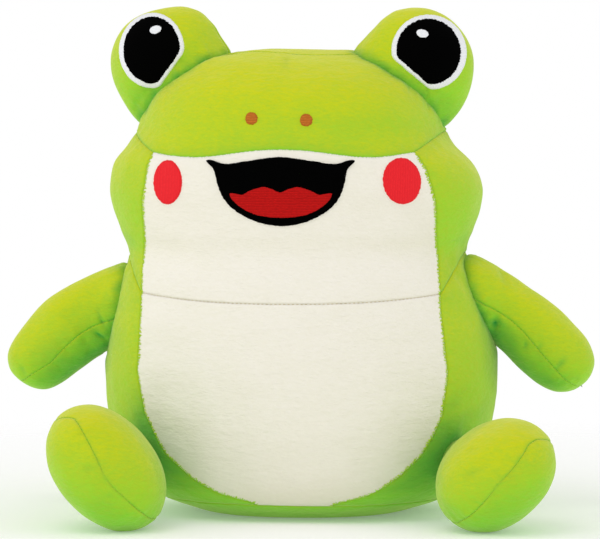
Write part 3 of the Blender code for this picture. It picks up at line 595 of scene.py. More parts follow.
def torso_panel(row, rows, zone, hand):
    """The panel that a cell of the torso belongs to."""
    if row < rows["seat_edge"]:
        return "seat_panel"
    if row < rows["belly"]:
        return {"front": "belly_panel", "side": f"side_panel_{hand}", "back": f"back_panel_{hand}"}[zone]
    if row >= rows["crown"] or zone == "back":
        return "head_back_panel"
    if row >= rows["brow"]:
        return "brow_panel"
    return {"front": "face_panel", "side": f"cheek_panel_{hand}"}[zone]


# Eye mounds


def mound_form(hand, side):
    """An eye mound, in rings from its back to its front."""
    inward, rise, narrowing = MOUND_SHIFTS[hand]
    turn = np.linspace(math.pi, 0, MOUND_ROWS + 2)[1:-1, None]
    angle = np.linspace(0, 2 * math.pi, MOUND_COLUMNS, endpoint=False)
    lift = np.cos(angle) * np.sin(turn)
    narrow = np.where(lift > 0, narrowing, MOUND_LOWER_NARROWING) * lift ** 2
    wide = MOUND_HALF_WIDTH * (1 - narrow) * np.sin(angle) * np.sin(turn)
    deep = MOUND_HALF_DEPTH * (1 - (1 - MOUND_LOWER_DEPTH_SHARE) * np.minimum(lift, 0) ** 2) * np.cos(turn)
    across, along = math.sin(MOUND_TURN), math.cos(MOUND_TURN)
    points = np.stack([
        MOUND_OFFSET - wide * along + deep * across - inward * np.maximum(lift, 0) ** 2,
        -MOUND_FORWARD - wide * across - deep * along,
        MOUND_HEIGHT + rise + lift * np.where(lift > 0, MOUND_UPPER_HEIGHT, MOUND_LOWER_HEIGHT),
    ], axis=-1)
    rows = MOUND_ROWS - 1
    labels = np.full((rows, MOUND_COLUMNS), "rear", object)
    labels[round(rows * (1 - MOUND_SEAM_SHARE)):] = "front"
    form = Form(points, labels, ("rear", "front"))
    return form if side > 0 else form.mirrored()


# Limbs


def limb_outline(kind, limb):
    """The limb's outline: distance from its root, half height, half width and place along the limb."""
    root, size = np.array(limb["root_size"]), np.array(limb["size"])
    rings = [(-root[0] * math.cos(turn), *root * math.sin(turn), 0) for turn in ROOT_ANGLES]
    swelling = limb["shares"][2][0]
    for place, swell in ((0.0, 0.0), *limb["shares"], *LIMB_KINDS[kind]["tip"]):
        here = size * swell if place > swelling else root + (size - root) * swell
        rings.append((place * limb["length"], *here, place))
    return Profile(rings)


def limb_form(kind, hand, side):
    """A limb in rings that turn steadily about its bend's axis, with its root and its direction.

    It is made for the right side, mirrored for the left, and then set on the leaning torso.
    """
    limb, common = LIMBS[kind, hand], LIMB_KINDS[kind]
    splay, drop, roll, bend = (math.radians(limb[key]) for key in ("splay", "drop", "roll", "bend"))
    root = Vector([part + shift for part, shift in zip(common["root"], limb["shift"])])
    flat = math.cos(drop)
    direction = Vector((math.sin(splay) * flat, -math.cos(splay) * flat, -math.sin(drop)))
    up = Matrix.Rotation(-roll, 3, direction) @ (UP - direction * UP.dot(direction)).normalized()
    axis = Vector(common["axis"])
    outline = limb_outline(kind, limb)
    shares, *seams = zip(*LIMB_SEAMS[kind, hand])
    half = LIMB_COLUMNS // 2
    points = []
    centre, last, reached = root.copy(), 0, 0
    for travel in np.linspace(0, outline.lengths[-1], LIMB_ROWS + 1):
        distance, height, width, place = outline.at(travel)
        turned, halfway = (Matrix.Rotation(bend * share, 3, axis) for share in (place, (place + reached) / 2))
        way, top = turned @ direction, turned @ up
        if distance > 0:
            centre += halfway @ direction * (distance - last)
        middle = centre if distance > 0 else root + direction * distance
        last, reached = max(distance, 0), place
        share = travel / outline.lengths[-1]
        start, end = (math.radians(np.interp(share, shares, angles)) for angles in seams)
        angles = np.append(np.linspace(start, end, half, endpoint=False),
                           np.linspace(end, start + 2 * math.pi, half, endpoint=False))
        beside = way.cross(top)
        points.append([middle + top * height * math.cos(angle) + beside * width * math.sin(angle)
                       for angle in angles])
    labels = np.full((LIMB_ROWS, LIMB_COLUMNS), common["panels"][0], object)
    labels[:, half:] = common["panels"][1]
    form = Form(points, labels, common["panels"])
    if side < 0:
        form = form.mirrored()
    lean = root.z * TORSO_LEAN
    form.points = form.points - np.array((lean, 0, 0))
    root = Vector((side * root.x - lean, root.y, root.z))
    return form, root, Vector((side * direction.x, direction.y, direction.z))


# Meshes


def grid_faces(cells):
    """Corner numbers of each chosen cell of a grid that closes round."""
    columns = cells.shape[1]
    row, column = np.nonzero(cells)
    after = (column + 1) % columns
    low, high = row * columns, (row + 1) * columns
    return np.stack([low + column, low + after, high + after, high + column], axis=1).tolist()


def tube_faces(rings, count):
    return grid_faces(np.ones((rings - 1, count), bool))


def end_faces(form, labels, count):
    """Triangles that close the ends with these labels, each about a middle point numbered from a count."""
    rows, columns = form.points.shape[:2]
    faces, middles = [], []
    for end, row in enumerate((0, rows - 1)):
        if form.ends[end] not in labels:
            continue
        number = count + len(middles)
        middles.append(form.points[row].mean(axis=0))
        for column in range(columns):
            pair = (row * columns + column, row * columns + (column + 1) % columns)
            faces.append((number, *(pair if end else pair[::-1])))
    return faces, middles


def new_mesh(name, points, faces):
    mesh = bpy.data.meshes.new(name)
    mesh.from_pydata(np.array(points).tolist(), [], faces)
    return mesh


def panel_mesh(name, form, label):
    """A closed sheet of fabric over the cells with one label, parted from its neighbours along the seams.

    Returns the mesh and how many faces, the last ones, are the cut edge of the fabric.
    """
    columns = form.points.shape[1]
    normals = normals_of(form.points).reshape(-1, 3)
    points, painted_shade = form.points.reshape(-1, 3), form.painted_shade.reshape(-1)
    fans, middles = end_faces(form, (label,), len(points))
    if middles:
        points = np.vstack([points, middles])
        painted_shade = np.append(painted_shade, np.zeros(len(middles)))
        ends = zip(form.ends, (normals[:columns], normals[-columns:]))
        normals = np.vstack([normals, [unit(ways.mean(axis=0)) for end, ways in ends if end == label]])
    faces = grid_faces(form.labels == label) + fans
    used = sorted({corner for face in faces for corner in face})
    index = {corner: number for number, corner in enumerate(used)}
    faces = [tuple(index[corner] for corner in face) for face in faces]
    outer, ways, painted_shade = points[used], normals[used], painted_shade[used]
    sides = {(a, b) for face in faces for a, b in zip(face, face[1:] + face[:1])}
    edges = sorted(side for side in sides if side[::-1] not in sides)
    outer = outer + edge_insets(outer, faces, edges)
    inner = outer - ways * FABRIC_THICKNESS
    outer[:, 2] = np.maximum(outer[:, 2], 0)
    inner[:, 2] = np.maximum(inner[:, 2], FABRIC_THICKNESS)
    count = len(used)
    walls = [(end, start, start + count, end + count) for start, end in edges]
    backs = [tuple(corner + count for corner in reversed(face)) for face in faces]
    mesh = new_mesh(name, np.vstack([outer, inner]), faces + backs + walls)
    # Painted shade of seams, folds and hollows, kept on both faces of the sheet for the material
    near = mesh.attributes.new("painted_shade", "FLOAT", "POINT")
    near.data.foreach_set("value", np.tile(painted_shade, 2).astype(np.float32))
    return mesh, len(walls)


def edge_insets(points, faces, edges):
    """How far each point on a panel's edge is drawn in."""
    sums = {corner: [np.zeros(3), 0] for edge in edges for corner in edge}
    for face in faces:
        for corner in face:
            if corner in sums:
                sums[corner][0] = sums[corner][0] + points[list(face)].mean(axis=0)
                sums[corner][1] += 1
    insets = np.zeros_like(points)
    for corner, (total, count) in sums.items():
        insets[corner] = unit(total / count - points[corner]) * SEAM_GAP
    return insets


def add_piece(name, mesh, finish, flat=0):
    """A finished piece at the origin, with its material. Its last faces can be left flat."""
    material, slot = FINISHES[finish]
    mesh.materials.append(material)
    mesh.polygons.foreach_set("use_smooth", [True] * (len(mesh.polygons) - flat) + [False] * flat)
    piece = bpy.data.objects.new(name, mesh)
    bpy.context.collection.objects.link(piece)
    return piece


def carry(piece, body, blend):
    """The piece moves with its body, or, where a blend is given, is only fixed in place."""
    if blend:
        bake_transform(piece)
    else:
        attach(piece, body)


def add_panel(name, form, label, finish, nodes, body="torso", blend=None):
    """One sewn panel as a stuffed piece, which stands for its nodes and moves with its body unless a blend is
    given.
    """
    mesh, cut_edges = panel_mesh(name, form, label)
    piece = add_piece(name, mesh, finish, cut_edges)
    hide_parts(*nodes)
    carry(piece, body, blend)


# Stitching


def ellipse(centre, half_width, half_height, count, tilt=0):
    """An outline whose tilt is in degrees."""
    tilt = math.radians(tilt)
    points = []
    for turn in np.linspace(0, 2 * math.pi, count, endpoint=False):
        x, z = half_width * math.cos(turn), half_height * math.sin(turn)
        points.append((centre[0] + x * math.cos(tilt) - z * math.sin(tilt),
                       centre[1] + x * math.sin(tilt) + z * math.cos(tilt)))
    return np.array(points)


def chorded(points, centre, degrees, distance):
    """An outline with the part beyond a straight chord pressed back onto it, and smoothed."""
    way = np.array((math.cos(math.radians(degrees)), math.sin(math.radians(degrees))))
    beyond = np.maximum((points - centre) @ way - distance, 0)
    loop = points - beyond[:, None] * way
    return sum(np.roll(loop, step, axis=0) for step in range(-2, 3)) / 5


def mouth_outline(shares):
    """A closed outline from its right half, as shares of the mouth's size."""
    half = [(x * MOUTH_HALF_WIDTH, MOUTH_BOTTOM + z * MOUTH_HEIGHT) for x, z in shares]
    loop = [(x + MOUTH_OFFSET, z) for x, z in half + [(-x, z) for x, z in reversed(half[1:-1])]]
    return smooth_through(loop[-2:] + loop + loop[:2])[2 * PROFILE_STEPS:-PROFILE_STEPS - 1]


def evenly(outline, step):
    """A closed outline with points at even steps along it."""
    loop = np.vstack([outline, outline[:1]])
    lengths = path_lengths(loop)
    count = max(round(lengths[-1] / step), 12)
    return read_at(loop, lengths, np.linspace(0, lengths[-1], count, endpoint=False))


def drop_onto(tree, x, z):
    """The place and the outward way of the fabric straight behind a point of the front view."""
    place, way, _, _ = tree.ray_cast(Vector((x - z * TORSO_LEAN, -1, z)), Vector((0, 1, 0)))
    if place is None:
        raise ValueError("a stitch or fold reaches beyond its fabric")
    return place, way if way.y < 0 else -way


def stitched_pad(node_name, tree, outline, centre, lift, finish, jag=THREAD_JAG, satin=False):
    """Raised stitching inside an outline: a pad that is full at its middle and rounded at its edge.

    Its threads lie in level rows, or in satin stitch straight across the rim.
    """
    rim, middle = evenly(outline, RIM_STEP), np.array(centre)
    spokes = rim - middle
    reach = np.linalg.norm(spokes, axis=1)
    count = len(rim)
    rim = rim + spokes / reach[:, None] * np.random.default_rng(1).uniform(-jag, jag, count)[:, None]
    rings = max(int(reach.max() / RING_STEP), 5)
    points, places = [], []
    for share in np.linspace(1, 0, rings, endpoint=False):
        for number, (x, z) in enumerate(middle + (rim - middle) * share):
            inside = (1 - share) * reach[number]
            full = math.sqrt(1 - (1 - min(inside / THREAD_EDGE, 1)) ** 2)
            place, way = drop_onto(tree, x, z)
            points.append(place + way * (lift + THREAD_HEIGHT * full))
            places.append((inside, number * RIM_STEP) if satin else (x, z))
    place, way = drop_onto(tree, *middle)
    points.append(place + way * (lift + THREAD_HEIGHT))
    for x, z in (*rim, middle):
        place, way = drop_onto(tree, x, z)
        points.append(place - way * FABRIC_THICKNESS)
    places += [tuple(place) for place in (middle, *rim, middle)]
    faces = tube_faces(rings, count)
    last, back = (rings - 1) * count, rings * count + 1
    for here in range(count):
        there = (here + 1) % count
        faces += [(last + here, last + there, back - 1), (here, back + here, back + there, there),
                  (back + here, back + count, back + there)]
    if turns_clockwise(rim):
        faces = [face[::-1] for face in faces]
    mesh = new_mesh(node_name + "_stitching", points, faces)
    uv = mesh.uv_layers.new(name="threads")
    for loop in mesh.loops:
        uv.data[loop.index].uv = places[loop.vertex_index]
    piece = add_piece(mesh.name, mesh, finish)
    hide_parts(node_name)
    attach(piece, "torso")


def turns_clockwise(outline):
    x, z = outline.T
    return (x * np.roll(z, -1) - np.roll(x, -1) * z).sum() < 0


def thread_points(centre, way, out, length, radius):
    """The points of one short thread with tapered ends."""
    way, out = way.normalized(), out.normalized()
    beside = way.cross(out).normalized()
    return [centre + way * place * length + (out * math.cos(turn) + beside * math.sin(turn)) * radius * swell
            for place, swell in THREAD_STATIONS
            for turn in np.linspace(0, 2 * math.pi, THREAD_SIDES, endpoint=False)]


def on_path(path, ways, travel):
    """A place along a path, the way that the path runs there and the way out of the fabric."""
    lengths = path_lengths(path)
    centre, ahead = (Vector(read_at(path, lengths, far)) for far in (travel, travel + STITCH_PITCH / 4))
    return centre, (ahead - centre).normalized(), Vector(read_at(ways, lengths, travel)).normalized()


def travels(path, pitch):
    return np.arange(pitch, path_lengths(path)[-1] - pitch, pitch)


def add_threads(name, threads, finish, body="torso", blend=None):
    """One piece made of many short threads."""
    last = (len(THREAD_STATIONS) - 1) * THREAD_SIDES
    one = tube_faces(len(THREAD_STATIONS), THREAD_SIDES)
    one += [range(THREAD_SIDES)[::-1], range(last, last + THREAD_SIDES)]
    points = [point for thread in threads for point in thread]
    faces = [[corner + start for corner in face]
             for start in range(0, len(points), last + THREAD_SIDES) for face in one]
    carry(add_piece(name, new_mesh(name, points, faces), finish), body, blend)


def stitch_row(name, path, ways, finish, sink, body="torso", blend=None):
    """A row of short stitches along a path on the fabric."""
    stitches = []
    for travel in travels(path, STITCH_PITCH):
        centre, along, out = on_path(path, ways, travel)
        stitches.append(thread_points(centre - out * sink, along, out, STITCH_LENGTH, STITCH_RADIUS))
    add_threads(name, stitches, finish, body, blend)


def tuft_row(name, path, ways, side, finish, seed):
    """Tufts of pile caught in a seam, which lie unevenly across it onto the panel at one side."""
    draw = np.random.default_rng(seed)
    tufts = []
    for travel in travels(path, TUFT_PITCH):
        place = travel + draw.uniform(-TUFT_SCATTER, TUFT_SCATTER) * TUFT_PITCH
        centre, along, out = on_path(path, ways, place)
        across = along.cross(out).normalized() * side
        length = draw.uniform(*TUFT_LENGTHS)
        way = across + along * draw.uniform(-TUFT_SLANT, TUFT_SLANT)
        place = centre + across * length * TUFT_OVERHANG + out * TUFT_LIFT
        tufts.append(thread_points(place, way, out, length, draw.uniform(*TUFT_RADII)))
    add_threads(name, tufts, finish)


# Materials

# The way from which light is painted on: faces turned this way get the lit colour, faces turned away the deep one
PAINTED_LIGHT_WAY = (-0.10, -0.25, 0.96)


def linear(code):
    """An sRGB hex colour as linear values with alpha."""
    parts = [int(code[place:place + 2], 16) / 255 for place in (1, 3, 5)]
    return (*(part / 12.92 if part <= 0.04045 else ((part + 0.055) / 1.055) ** 2.4 for part in parts), 1.0)


def new_material(name):
    material = bpy.data.materials.new(name)
    material.use_nodes = True
    return material, material.node_tree.nodes["Principled BSDF"]


def join(owner, made, inputs):
    """Gives a node's inputs their values, or links from the sockets that stand in for values."""
    for key, value in inputs.items():
        if isinstance(value, bpy.types.NodeSocket):
            owner.node_tree.links.new(value, made.inputs[key])
        else:
            made.inputs[key].default_value = value


def node(owner, kind, output, inputs, **settings):
    """Adds a node with its settings and links, and gives the output that is used."""
    made = owner.node_tree.nodes.new("ShaderNode" + kind)
    for key, value in settings.items():
        setattr(made, key, value)
    join(owner, made, inputs if isinstance(inputs, dict) else dict(enumerate(inputs)))
    return made.outputs[output]


def plush(name, lit_colour, middle, deep, hollow_shade, sheen_tint, sheen):
    """Short-pile plush, painted paler where it faces the light and darker elsewhere, with painted shade in
    hollows.
    """
    material, shader = new_material(name)
    place = node(material, "TexCoord", "Object", {})
    facing = node(material, "TexCoord", "Normal", {})
    # Painted light: the colour runs from deep to lit as a face turns towards the painted light's way
    lit = node(material, "VectorMath", "Value", (facing, PAINTED_LIGHT_WAY), operation="DOT_PRODUCT")
    brushed = node(material, "TexNoise", "Fac", {"Vector": place, "Scale": 70, "Detail": 3,
                                                 "Roughness": 0.55})
    combed = node(material, "Mapping", "Vector", {"Vector": place, "Scale": (0.55, 0.55, 1.4)})
    # Clumps of fibre are about 1 mm across, drawn at 2 mm so that they show
    fibre = node(material, "TexNoise", "Fac", {"Vector": combed, "Scale": 520, "Detail": 3, "Roughness": 0.7})
    clump = node(material, "TexNoise", "Fac", {"Vector": combed, "Scale": 200, "Detail": 2, "Roughness": 0.5})
    grain = node(material, "Math", "Value", (fibre, 1.2, -0.845), operation="MULTIPLY_ADD")
    mottle = node(material, "Math", "Value", (brushed, 0.35, grain), operation="MULTIPLY_ADD")
    tilt = node(material, "Math", "Value", (lit, mottle), operation="ADD")
    upper = node(material, "MapRange", "Result", (tilt, 0.2, 1.0))
    lower = node(material, "MapRange", "Result", (tilt, -0.75, 0.2))
    dark = node(material, "Mix", 2, {0: lower, 6: linear(deep), 7: linear(middle)}, data_type="RGBA")
    pile = node(material, "Mix", 2, {0: upper, 6: dark, 7: linear(lit_colour)}, data_type="RGBA")
    # Painted shade along seams, folds and in hollows, mixed towards the hollow shade colour
    near = node(material, "Attribute", "Fac", {}, attribute_name="painted_shade")
    colour = node(material, "Mix", 2, {0: near, 6: pile, 7: linear(hollow_shade)}, data_type="RGBA")
    height = node(material, "Math", "Value", (fibre, 0.6, clump), operation="MULTIPLY_ADD")
    bump = node(material, "Bump", "Normal", {"Height": height, "Strength": 1.0, "Distance": 0.0008})
    join(material, shader, {"Base Color": colour, "Normal": bump, "Roughness": 0.92,
                            "Specular IOR Level": 0.1, "Sheen Weight": sheen, "Sheen Roughness": 0.45,
                            "Sheen Tint": linear(sheen_tint)})
    return material


def thread(name, colour, other, along, roughness, shine):
    """Machine embroidery in rayon thread: close parallel stitches with a low lustre."""
    material, shader = new_material(name)
    place = node(material, "TexCoord", "UV", {})
    turned = node(material, "Mapping", "Vector", {"Vector": place, "Rotation": (0, 0, along)})
    # Real threads lie 0.4 mm apart, drawn at 0.9 mm so that they show
    rows = node(material, "TexWave", "Fac", {"Vector": turned, "Scale": 350, "Distortion": 2.5, "Detail": 2,
                                             "Detail Scale": 2.0}, wave_type="BANDS", bands_direction="Y")
    streak = node(material, "TexNoise", "Fac", {"Vector": turned, "Scale": 700, "Detail": 1})
    tone = node(material, "Math", "Value", (rows, streak), operation="MULTIPLY", use_clamp=True)
    shade = node(material, "Mix", 2, {0: tone, 6: linear(other), 7: linear(colour)}, data_type="RGBA")
    bump = node(material, "Bump", "Normal", {"Height": rows, "Strength": 0.4, "Distance": 0.0002})
    join(material, shader, {"Base Color": shade, "Normal": bump, "Roughness": roughness,
                            "Specular IOR Level": shine})
    return material


# Each finish: its material, and the record's slot that it belongs to
FINISHES = {
    # In each plush the lit, middle and deep colours are painted light by facing, then the painted shade colour,
    # the sheen tint and sheen
    "green": (plush("green_velboa", "#CBD010", "#AACB2A", "#90D62E", "#1C9E46", "#F0F5A8", 0.6),
              "velboa_green"),
    "white": (plush("white_velboa", "#F3EFE6", "#EEEADC", "#E8E4D2", "#DFD9C6", "#FFFFFF", 0.3),
              "velboa_white"),
    "black_thread": (thread("black_rayon_thread", "#010101", "#010101", 0, 0.9, 0.02), "thread_black"),
    "white_thread": (thread("white_rayon_thread", "#FFFFFF", "#E2E4E8", 0, 0.5, 0.25), "thread_white"),
    "tongue_thread": (thread("dark_red_rayon_thread", "#E01614", "#A00C0C", 0, 0.7, 0.08), "thread_red"),
    "blush_thread": (thread("red_rayon_thread", "#F8282F", "#E01C26", math.pi / 2, 0.6, 0.15), "thread_red"),
    "brown_thread": (thread("brown_rayon_thread", "#DC8030", "#A85C1C", 0, 0.6, 0.1), "thread_brown"),
    "tan_seam": (thread("tan_sewing_thread", "#E2D8BE", "#D2C4A2", 0, 0.7, 0.2), "thread_brown"),
    "green_seam": (thread("green_sewing_thread", "#86C426", "#7AB824", 0, 0.9, 0.05), "velboa_green"),
}


# Sewing


def front_folds(form, side, folds):
    """Folds through places given in the front view of the right side, mirrored on the left."""
    tree = form.tree()
    for places, *shape in folds:
        fold(form, [tuple(drop_onto(tree, side * x, z)[0]) for x, z in places], *shape)


def darken_hollows(forms):
    """Paints shade onto each form where its neighbours and the floor shut out the light."""
    trees = [form.tree() for form in forms]
    ways = unit(np.random.default_rng(11).normal(size=(HOLLOW_RAYS, 3)))
    for form in forms:
        rows, columns = form.points.shape[:2]
        picked_rows = np.unique(np.append(np.arange(0, rows, HOLLOW_STEP), rows - 1))
        picked_columns = np.arange(0, columns, HOLLOW_STEP)
        normals = normals_of(form.points)
        shut = np.array([[shut_out(form.points[row, column], normals[row, column], ways, trees)
                          for column in picked_columns] for row in picked_rows])
        wide = np.hstack([shut, shut[:, :1]])
        across = read_at(wide.T, np.append(picked_columns, columns), np.arange(columns))
        whole = read_at(across.T, picked_rows, np.arange(rows))
        form.shade(np.clip(whole * HOLLOW_STRENGTH - HOLLOW_START, 0, HOLLOW_LIMIT))


def shut_out(point, normal, ways, trees):
    """The share of the light round a point that other surfaces hold back."""
    start = Vector(point + normal * HOLLOW_LIFT)
    shut = 0.0
    for way in unit(ways + normal):
        floor = -start.z / way[2] if way[2] < -1e-6 else math.inf
        held = FLOOR_SHADE if floor < HOLLOW_REACH else 0
        reach, ray = min(floor, HOLLOW_REACH), Vector(way)
        shut += 1 if any(tree.ray_cast(start, ray, reach)[0] is not None for tree in trees) else held
    return shut / len(ways)


def junction(form, tree):
    """The points of a form that lie where it goes into another."""
    points = form.points.reshape(-1, 3)
    return np.array([point for point in points if tree.find_nearest(Vector(point), SEWN_GAP)[0] is not None])


def sew_torso(form, rows, junctions):
    """Seams, gathers and lumps of the torso. Junctions are the lines where limbs and mounds are sewn on."""
    for number, (size, height) in enumerate(TORSO_LUMPS):
        calm = np.clip(form.points[..., 2] / SEAT_CALM_HEIGHT, 0, 1)
        form.push(lumps(form.points, size, 3 + number) * height * calm)
    cheeks, sides = ("cheek_panel_left", "cheek_panel_right"), ("side_panel_left", "side_panel_right")
    gather(form, form.seam(), "torso seams", 5)
    gather(form, form.seam(("brow_panel",), ("face_panel", *cheeks)), "brow seam", 7)
    gather(form, form.seam(cheeks, sides), "neck", 8)
    for number, (line, kind) in enumerate(junctions):
        gather(form, line, kind, 20 + number)
    first, last = (rows["crown"] - rows_down for rows_down in DART_ROWS)
    fold(form, form.points[first:last, 0][::-1], *BROW_DART)


def settle_tip(form, plain):
    """Evens the last rings before a limb's tip, where the puckers of its seams would meet in a knot."""
    radii = np.linalg.norm(plain - plain.mean(axis=1, keepdims=True), axis=2).max(axis=1)
    start = np.nonzero(radii > TIP_CALM_RADIUS)[0].max()
    moved = form.points - plain
    calm = moved[start].mean(axis=0)
    for row in range(start + 1, len(radii)):
        form.points[row] = plain[row] + calm + (moved[row] - calm) * (radii[row] / radii[start]) ** 2
        form.painted_shade[row] = np.minimum(form.painted_shade[row], TIP_SHADE_LIMIT)


def sew_limb(form, kind, hand, side, torso_tree, seed):
    """Seams, gathers and folds of a limb. Returns the line where it is sewn to the torso."""
    flare(form, junction(form, torso_tree), LIMBS[kind, hand]["spread"], LIMB_FLARE_WAY, side)
    if kind == "arm":
        flare(form, junction(form, torso_tree), ARM_TOP_FLARE[hand], ARM_TOP_FLARE_WAY, side)
        rise, reach = ARM_ROOT_RISE[hand]
        _, gaps = nearest(form.points, junction(form, torso_tree), ARM_RISE_LIMIT)
        form.points[..., 2] += rise * np.exp(-((gaps / reach) ** 2))
    line = junction(form, torso_tree)
    plain = form.points.copy()
    gather(form, form.seam(), "limb seams", seed)
    settle_tip(form, plain)
    gather(form, line, "limb root", seed + 10)
    form.push(sum(lumps(form.points, size, seed + 20 + 10 * number) * height
                  for number, (size, height) in enumerate(LIMB_LUMPS)))
    rows, columns = form.points.shape[:2]
    for places, *shape in LIMB_FOLDS[kind, hand]:
        spots = [(round(along * (rows - 1)), round(around * columns) % columns) for along, around in places]
        fold(form, [form.points[row, column if side > 0 else columns - 1 - column] for row, column in spots],
             *shape)
    form.points[..., 2] = np.maximum(form.points[..., 2], 0)
    return line


def sew_mound(form, torso_tree, side, seed):
    """Seams and gathers of an eye mound. Returns the line where it is sewn to the head."""
    flare(form, junction(form, torso_tree), MOUND_FLARE, MOUND_FLARE_WAY, side)
    line = junction(form, torso_tree)
    size, height = MOUND_LUMPS
    form.push(lumps(form.points, size, seed) * height)
    gather(form, form.seam(), "mound seam", seed + 1)
    gather(form, line, "mound root", seed + 2)
    return line


# Building the toy


def seam_path(form, rows, columns):
    """Places and outward ways along a seam, by its rows and columns on the form."""
    return form.points[rows, columns], normals_of(form.points)[rows, columns]


def add_limb(kind, hand, form, root, direction):
    """The two panels of a limb and the stitches of its seams, fixed in place where they stand."""
    limb = f"{kind}_{hand}"
    blend = tuple(root + direction * place for place in LIMB_KINDS[kind]["crossing"])
    for label in dict.fromkeys(form.labels[0]):
        nodes = [f"{limb}_{label}_panel"] + [f"{limb}_stuffing"] * (label in ("lower", "outer"))
        add_panel(f"{limb}_{label}_skin", form, label, "green", nodes, limb, blend)
    for number, column in enumerate(np.nonzero(form.seam_mask()[LIMB_ROWS // 2])[0]):
        path, ways = seam_path(form, slice(LIMB_ROWS // 4, LIMB_ROWS - 4), column)
        stitch_row(f"{limb}_seam_{number + 1}_stitches", path, ways, "green_seam", SEAM_STITCH_SINK, limb,
                   blend)


def add_mound(hand, form):
    """The two panels of an eye mound, and the eye on its front."""
    mound, eye, tree = f"eye_mound_{hand}", EYES[hand], form.tree()
    for label in ("front", "rear"):
        nodes = [f"{mound}_{label}_panel"] + [f"{mound}_stuffing"] * (label == "rear")
        add_panel(f"{mound}_{label}_skin", form, label, "green", nodes)
    x, z = centre = eye["centre"]
    glint = (x + eye["glint"][0], z + eye["glint"][1])
    rim = chorded(ellipse(centre, *eye["rim"], EYE_POINTS), centre, eye["chord"], EYE_CHORD)
    pupil = ellipse((x + eye["inward"], z), *eye["pupil"], EYE_POINTS)
    pupil = chorded(pupil, centre, eye["chord"], PUPIL_CHORD)
    highlight = ellipse(glint, *HIGHLIGHT_SIZE, SMALL_POINTS, eye["tilt"])
    stitched_pad(f"eye_rim_{hand}", tree, rim, centre, 0, "white_thread", RIM_JAG, True)
    stitched_pad(f"eye_pupil_{hand}", tree, pupil, centre, THREAD_LAYER, "black_thread", PUPIL_JAG)
    stitched_pad(f"eye_highlight_{hand}", tree, highlight, glint, 2 * THREAD_LAYER, "white_thread")


def add_face(tree):
    """The mouth and tongue, each with its own middle, the nostrils and the blushes."""
    mouth, tongue = ((MOUTH_OFFSET, MOUTH_BOTTOM + MOUTH_HEIGHT * share)
                     for share in (MOUTH_MIDDLE, TONGUE_MIDDLE))
    stitched_pad("mouth", tree, mouth_outline(MOUTH_SHARES), mouth, 0, "black_thread")
    stitched_pad("tongue", tree, mouth_outline(TONGUE_SHARES), tongue, THREAD_LAYER, "tongue_thread")
    for hand, side in SIDES.items():
        nostril, (blush, sizes) = NOSTRILS[hand], BLUSHES[hand]
        outline = ellipse(nostril, *NOSTRIL_SIZE, SMALL_POINTS)
        stitched_pad(f"nostril_{hand}", tree, outline, nostril, 0, "brown_thread")
        outline = ellipse(blush, *sizes, BLUSH_POINTS, side * BLUSH_TILT)
        stitched_pad(f"blush_{hand}", tree, outline, blush, 0, "blush_thread")


def sew_seams(form, rows):
    """The stitches along the torso's seams. Only the belly seam's are tan, and pile is caught in three."""
    front, side, back = TORSO_COLUMNS
    edge = front + side
    to_brow, to_crown, to_belly = (np.arange(rows["seat_edge"], rows[key] + 1)
                                   for key in ("brow", "crown", "belly"))
    runs = {
        "belly_seam": (rows["belly"], np.arange(-front, front + 1)),
        "brow_seam": (rows["brow"], np.arange(-edge, edge + 1)),
        "crown_seam": (rows["crown"], np.arange(-edge, edge + 1)),
        "head_back_seam": (rows["belly"], np.arange(front, 2 * (side + back) + front + 1)),
        "white_edge_right": (to_brow, front),
        "white_edge_left": (to_brow, -front),
        "side_seam_right": (to_crown, edge),
        "side_seam_left": (to_crown, -edge),
        "back_seam": (to_belly, edge + back),
    }
    for name, place in runs.items():
        look = ("tan_seam", BELLY_STITCH_SINK) if name == "belly_seam" else ("green_seam", SEAM_STITCH_SINK)
        stitch_row(name + "_stitches", *seam_path(form, *place), *look)
    for name, way, seed in (("white_edge_right", -1, 90), ("white_edge_left", 1, 91)):
        tuft_row(name + "_tufts", *seam_path(form, *runs[name]), way, "green", seed)
    tuft_row("brow_seam_tufts", *seam_path(form, rows["brow"], runs["belly_seam"][1]), 1, "white", 93)


def build_toy():
    torso, rows = torso_form()
    smooth_torso = torso.tree()
    limbs, mounds, junctions = [], {}, []
    for hand, side in SIDES.items():
        for kind in LIMB_KINDS:
            form, root, direction = limb_form(kind, hand, side)
            line = sew_limb(form, kind, hand, side, smooth_torso, 30 + len(limbs))
            limbs.append((kind, hand, form, root, direction))
            junctions.append((line, "torso by a limb"))
    for hand, side in SIDES.items():
        mounds[hand] = mound_form(hand, side)
        mounds[hand].points = leaned(mounds[hand].points)
        junctions.append((sew_mound(mounds[hand], smooth_torso, side, 60 + side), "head by a mound"))
    sew_torso(torso, rows, junctions)
    for hand, side in SIDES.items():
        front_folds(mounds[hand], side, MOUND_FOLDS[hand])
    darken_hollows([torso, *(limb[2] for limb in limbs), *mounds.values()])
    stuffing = {"seat_panel": ("body_stuffing",), "head_back_panel": ("head_stuffing",)}
    for label in dict.fromkeys(torso.labels.flatten()):
        finish = "white" if label in WHITE_PANELS else "green"
        add_panel(label + "_skin", torso, label, finish, (label, *stuffing.get(label, ())))
    for limb in limbs:
        add_limb(*limb)
    for mound in mounds.items():
        add_mound(*mound)
    add_face(torso.tree())
    sew_seams(torso, rows)


# Stage, lights and camera

METRES_PER_PIXEL = 0.0005725
FRAME_WIDTH, FRAME_HEIGHT = 600, 539
SENSOR_WIDTH = 36
CAMERA_DISTANCE = 2.0
CAMERA_TURN = math.radians(4.3)
CAMERA_RISE = math.radians(2.5)
CAMERA_AIM = Vector((0, 0, 0.1364))
AIM_PIXEL = (305, 270)

